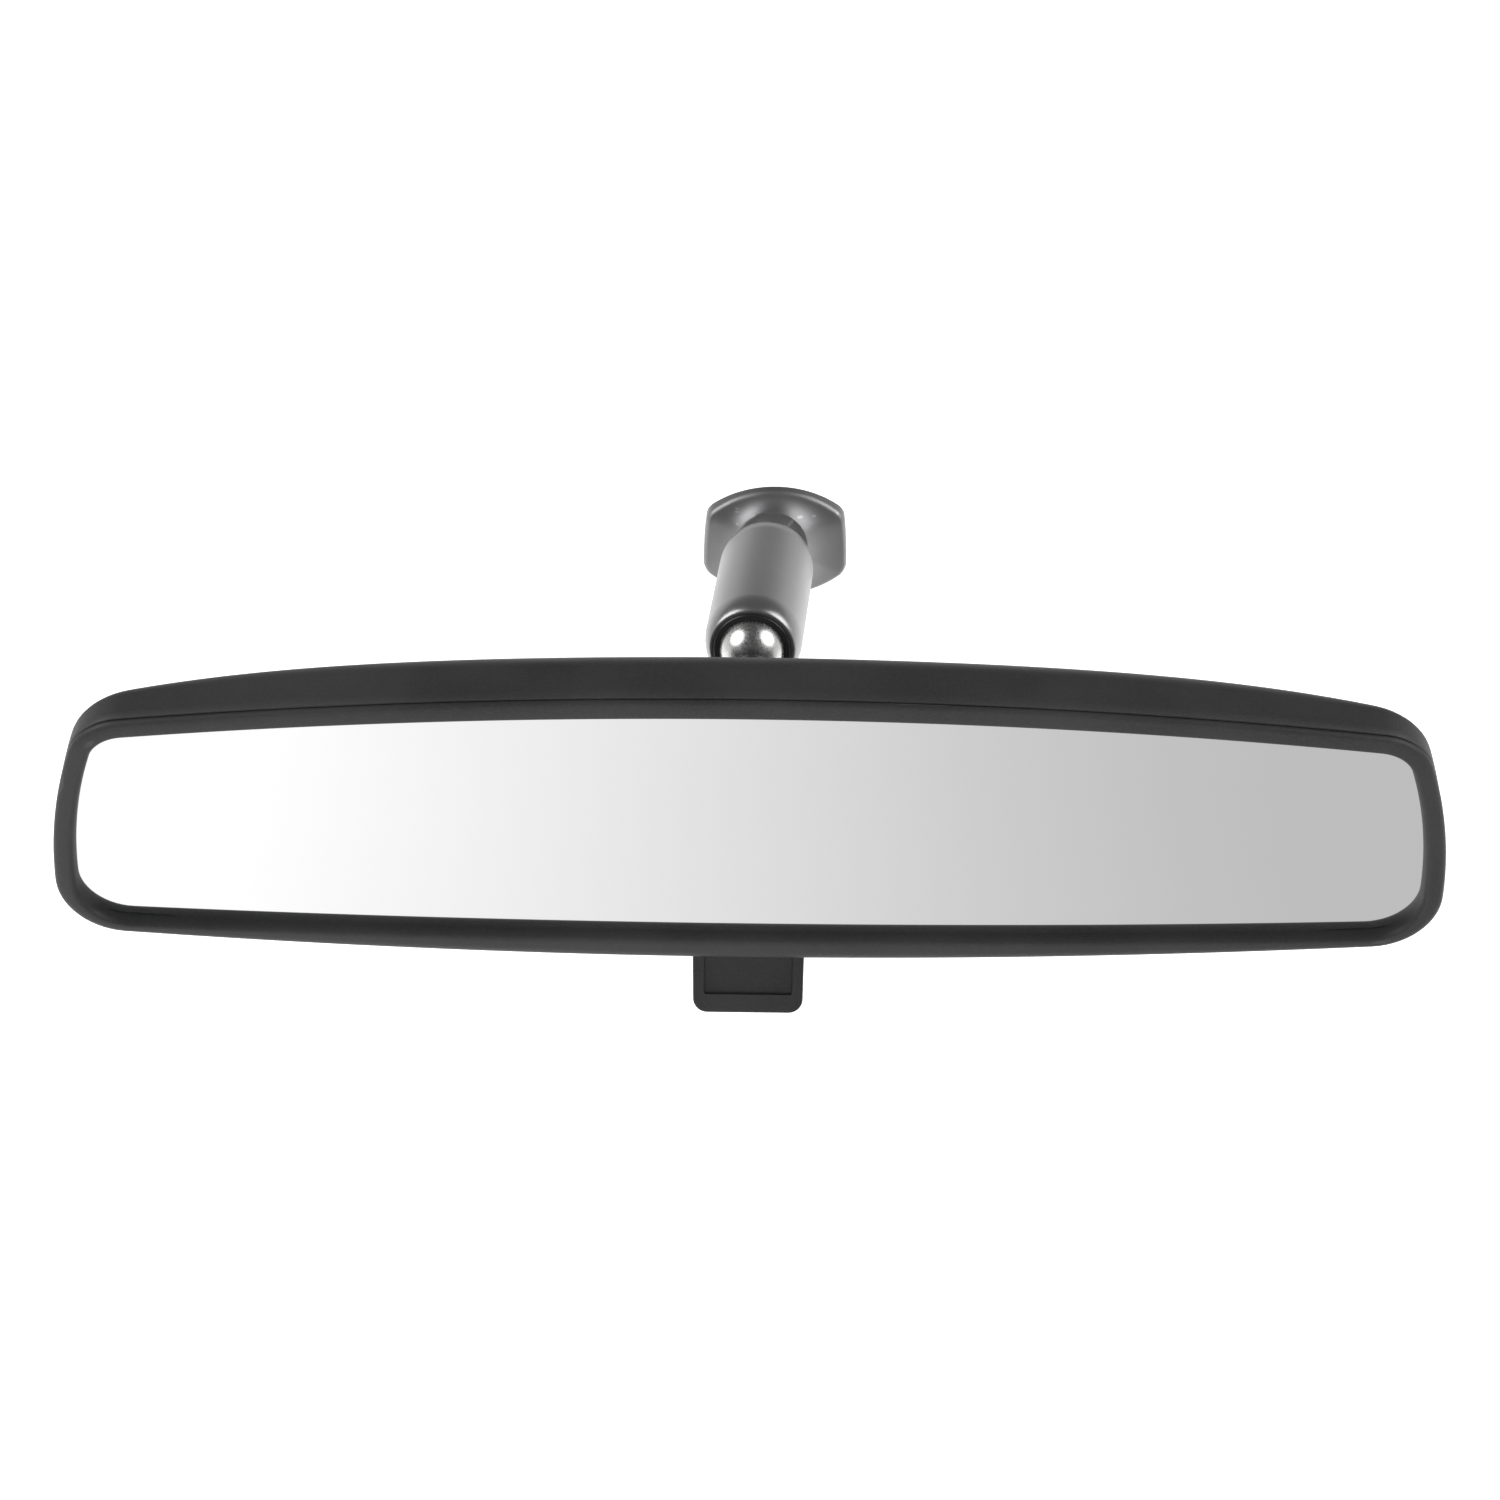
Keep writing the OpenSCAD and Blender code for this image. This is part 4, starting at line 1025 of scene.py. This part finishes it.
# ---------------------------------------------------------------- the pieces
dress(make_case(), plastic, "head", ["case_shell"])
dress(make_bezel(), bezel_plastic_with_painted_shade, "head", ["front_bezel"])
glass = make_glass()
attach(glass, "head")
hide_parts("mirror_glass")
dress(make_tube(), paint, "arm", ["arm_tube"])
dress(make_foot(), foot_paint_with_painted_shade, "mount", ["mount_foot"])
dress(make_head_stud(), ball_steel, "carrier", ["head_ball_stud"])
dress(make_foot_stud(), ball_steel, "mount", ["foot_ball_stud"])
dress(make_ball_ring("head_bearing_ring", ARM), acetal, "head_ring", ["head_ball_ring"])
dress(make_ball_ring("foot_bearing_ring", ARM_FOOT_END), acetal, "foot_ring",
      ["foot_ball_ring"])
dress(make_spring_seat("head_cup", ARM), plated_steel, "head_seat", ["head_spring_seat"])
dress(make_spring_seat("foot_cup", ARM_FOOT_END), plated_steel, "foot_seat",
      ["foot_spring_seat"])
dress(make_lever(), lever_plastic_with_painted_shade, "toggle", ["toggle_lever"])
dress(make_carrier(), nylon, "carrier", ["ball_carrier"])

CARRIED = {
    "foot_set_screw": pin_steel,
    "arm_spring": wire_steel,
    "stud_push_nut": wire_steel,
    "mirror_silvering": mirror,
    "glass_foam": foam,
    "pivot_bracket": plated_steel,
    "bracket_screws": plated_steel,
    "tilt_axle": pin_steel,
    "lever_axle": pin_steel,
    "detent_spring": wire_steel,
    "crank_pin": pin_steel,
}
for node_name, material in CARRIED.items():
    mesh = nodes[node_name].data
    mesh.materials.clear()
    mesh.materials.append(material)


# ---------------------------------------------------------------- floor, reflection card and light
FLOOR_DROP = 0.42
FLOOR_SIZE = 12.0


def stage_sheet(name, corners, material):
    mesh = bpy.data.meshes.new(name)
    mesh.from_pydata(corners, [], [tuple(range(len(corners)))])
    sheet = bpy.data.objects.new(name, mesh)
    bpy.context.scene.collection.objects.link(sheet)
    mesh.materials.append(material)
    return sheet


def make_floor():
    material, tree, shader = new_material("pale_floor")
    where = object_coordinates(tree)
    tone = mix_colours(tree, noise(tree, where, 3, detail=5), (0.93, 0.93, 0.93), (0.95, 0.95, 0.95))
    tree.links.new(tone, shader.inputs["Base Color"])
    shader.inputs["Roughness"].default_value = 0.9
    shader.inputs["Specular IOR Level"].default_value = 0.1
    shader.inputs["Emission Color"].default_value = (1, 1, 1, 1)
    shader.inputs["Emission Strength"].default_value = 0.7
    half = FLOOR_SIZE / 2
    z = head_at.z - FLOOR_DROP
    corners = [(-half, -half, z), (half, -half, z), (half, half, z), (-half, half, z)]
    return stage_sheet("floor", corners, material)


CARD_NEAR = 0.05
CARD_FAR = 1.6
CARD_HALF = 1.3
CARD_DROP = 0.36
CARD_WHITE_X = -0.172
CARD_GREY_X = 0.18
CARD_TONES = [(0.0, 1.075), (0.696, 0.65), (0.88, 0.573), (1.0, 0.548)]


def make_card():
    """What the glass reflects: a sheet below and in front of the head, white fading to grey."""
    material = bpy.data.materials.new("gradient_card")
    material.use_nodes = True
    tree = material.node_tree
    tree.nodes.clear()
    where = object_coordinates(tree)
    split = tree.nodes.new("ShaderNodeSeparateXYZ")
    tree.links.new(where, split.inputs["Vector"])
    share = add_node(tree, "ShaderNodeMapRange", From_Min=CARD_WHITE_X, From_Max=CARD_GREY_X)
    tree.links.new(split.outputs["X"], share.inputs["Value"])
    tone = ramp(tree, share.outputs["Result"], CARD_TONES)
    glow = add_node(tree, "ShaderNodeEmission", Strength=1.0)
    tree.links.new(tone, glow.inputs["Color"])
    out = tree.nodes.new("ShaderNodeOutputMaterial")
    tree.links.new(glow.outputs["Emission"], out.inputs["Surface"])
    z = head_at.z - CARD_DROP
    near = head_at.y - CARD_NEAR
    far = head_at.y - CARD_FAR
    corners = [(-CARD_HALF, far, z), (CARD_HALF, far, z), (CARD_HALF, near, z), (-CARD_HALF, near, z)]
    card = stage_sheet("reflection_card", corners, material)
    card.visible_camera = False
    card.visible_diffuse = False
    card.visible_shadow = False
    card.visible_transmission = False
    return card


def softbox(name, azimuth, elevation, distance, width, power):
    """A round lamp that faces the head. Azimuth 0 is in front of the glass."""
    a = math.radians(azimuth)
    e = math.radians(elevation)
    way = Vector((math.sin(a) * math.cos(e), -math.cos(a) * math.cos(e), math.sin(e)))
    data = bpy.data.lights.new(name, "AREA")
    data.shape = "DISK"
    data.size = width
    data.energy = power
    lamp = bpy.data.objects.new(name, data)
    bpy.context.scene.collection.objects.link(lamp)
    lamp.location = head_at + way * distance
    lamp.rotation_mode = "QUATERNION"
    lamp.rotation_quaternion = (-way).to_track_quat("-Z", "Y")
    return lamp


SKY_TONES = [(0.0, 0.9), (0.12, 0.42), (0.3, 0.12), (1.0, 0.07)]


def make_world():
    """White below the horizon, as a paper sweep is, and dark overhead."""
    world = bpy.data.worlds.new("studio")
    bpy.context.scene.world = world
    world.use_nodes = True
    tree = world.node_tree
    where = tree.nodes.new("ShaderNodeTexCoord").outputs["Generated"]
    split = tree.nodes.new("ShaderNodeSeparateXYZ")
    tree.links.new(where, split.inputs["Vector"])
    tone = ramp(tree, split.outputs["Z"], SKY_TONES, ease=True)
    background = tree.nodes["Background"]
    tree.links.new(tone, background.inputs["Color"])
    background.inputs["Strength"].default_value = 1.0


make_floor()
make_card()
softbox("key_left", -95, 39, 1.3, 1.1, 10)
softbox("key_right", 95, 39, 1.3, 1.1, 10)
front_fill = softbox("front_fill", 0, 25, 1.3, 1.0, 22)
front_fill.visible_glossy = False
make_world()
bpy.context.scene.view_settings.view_transform = "Standard"
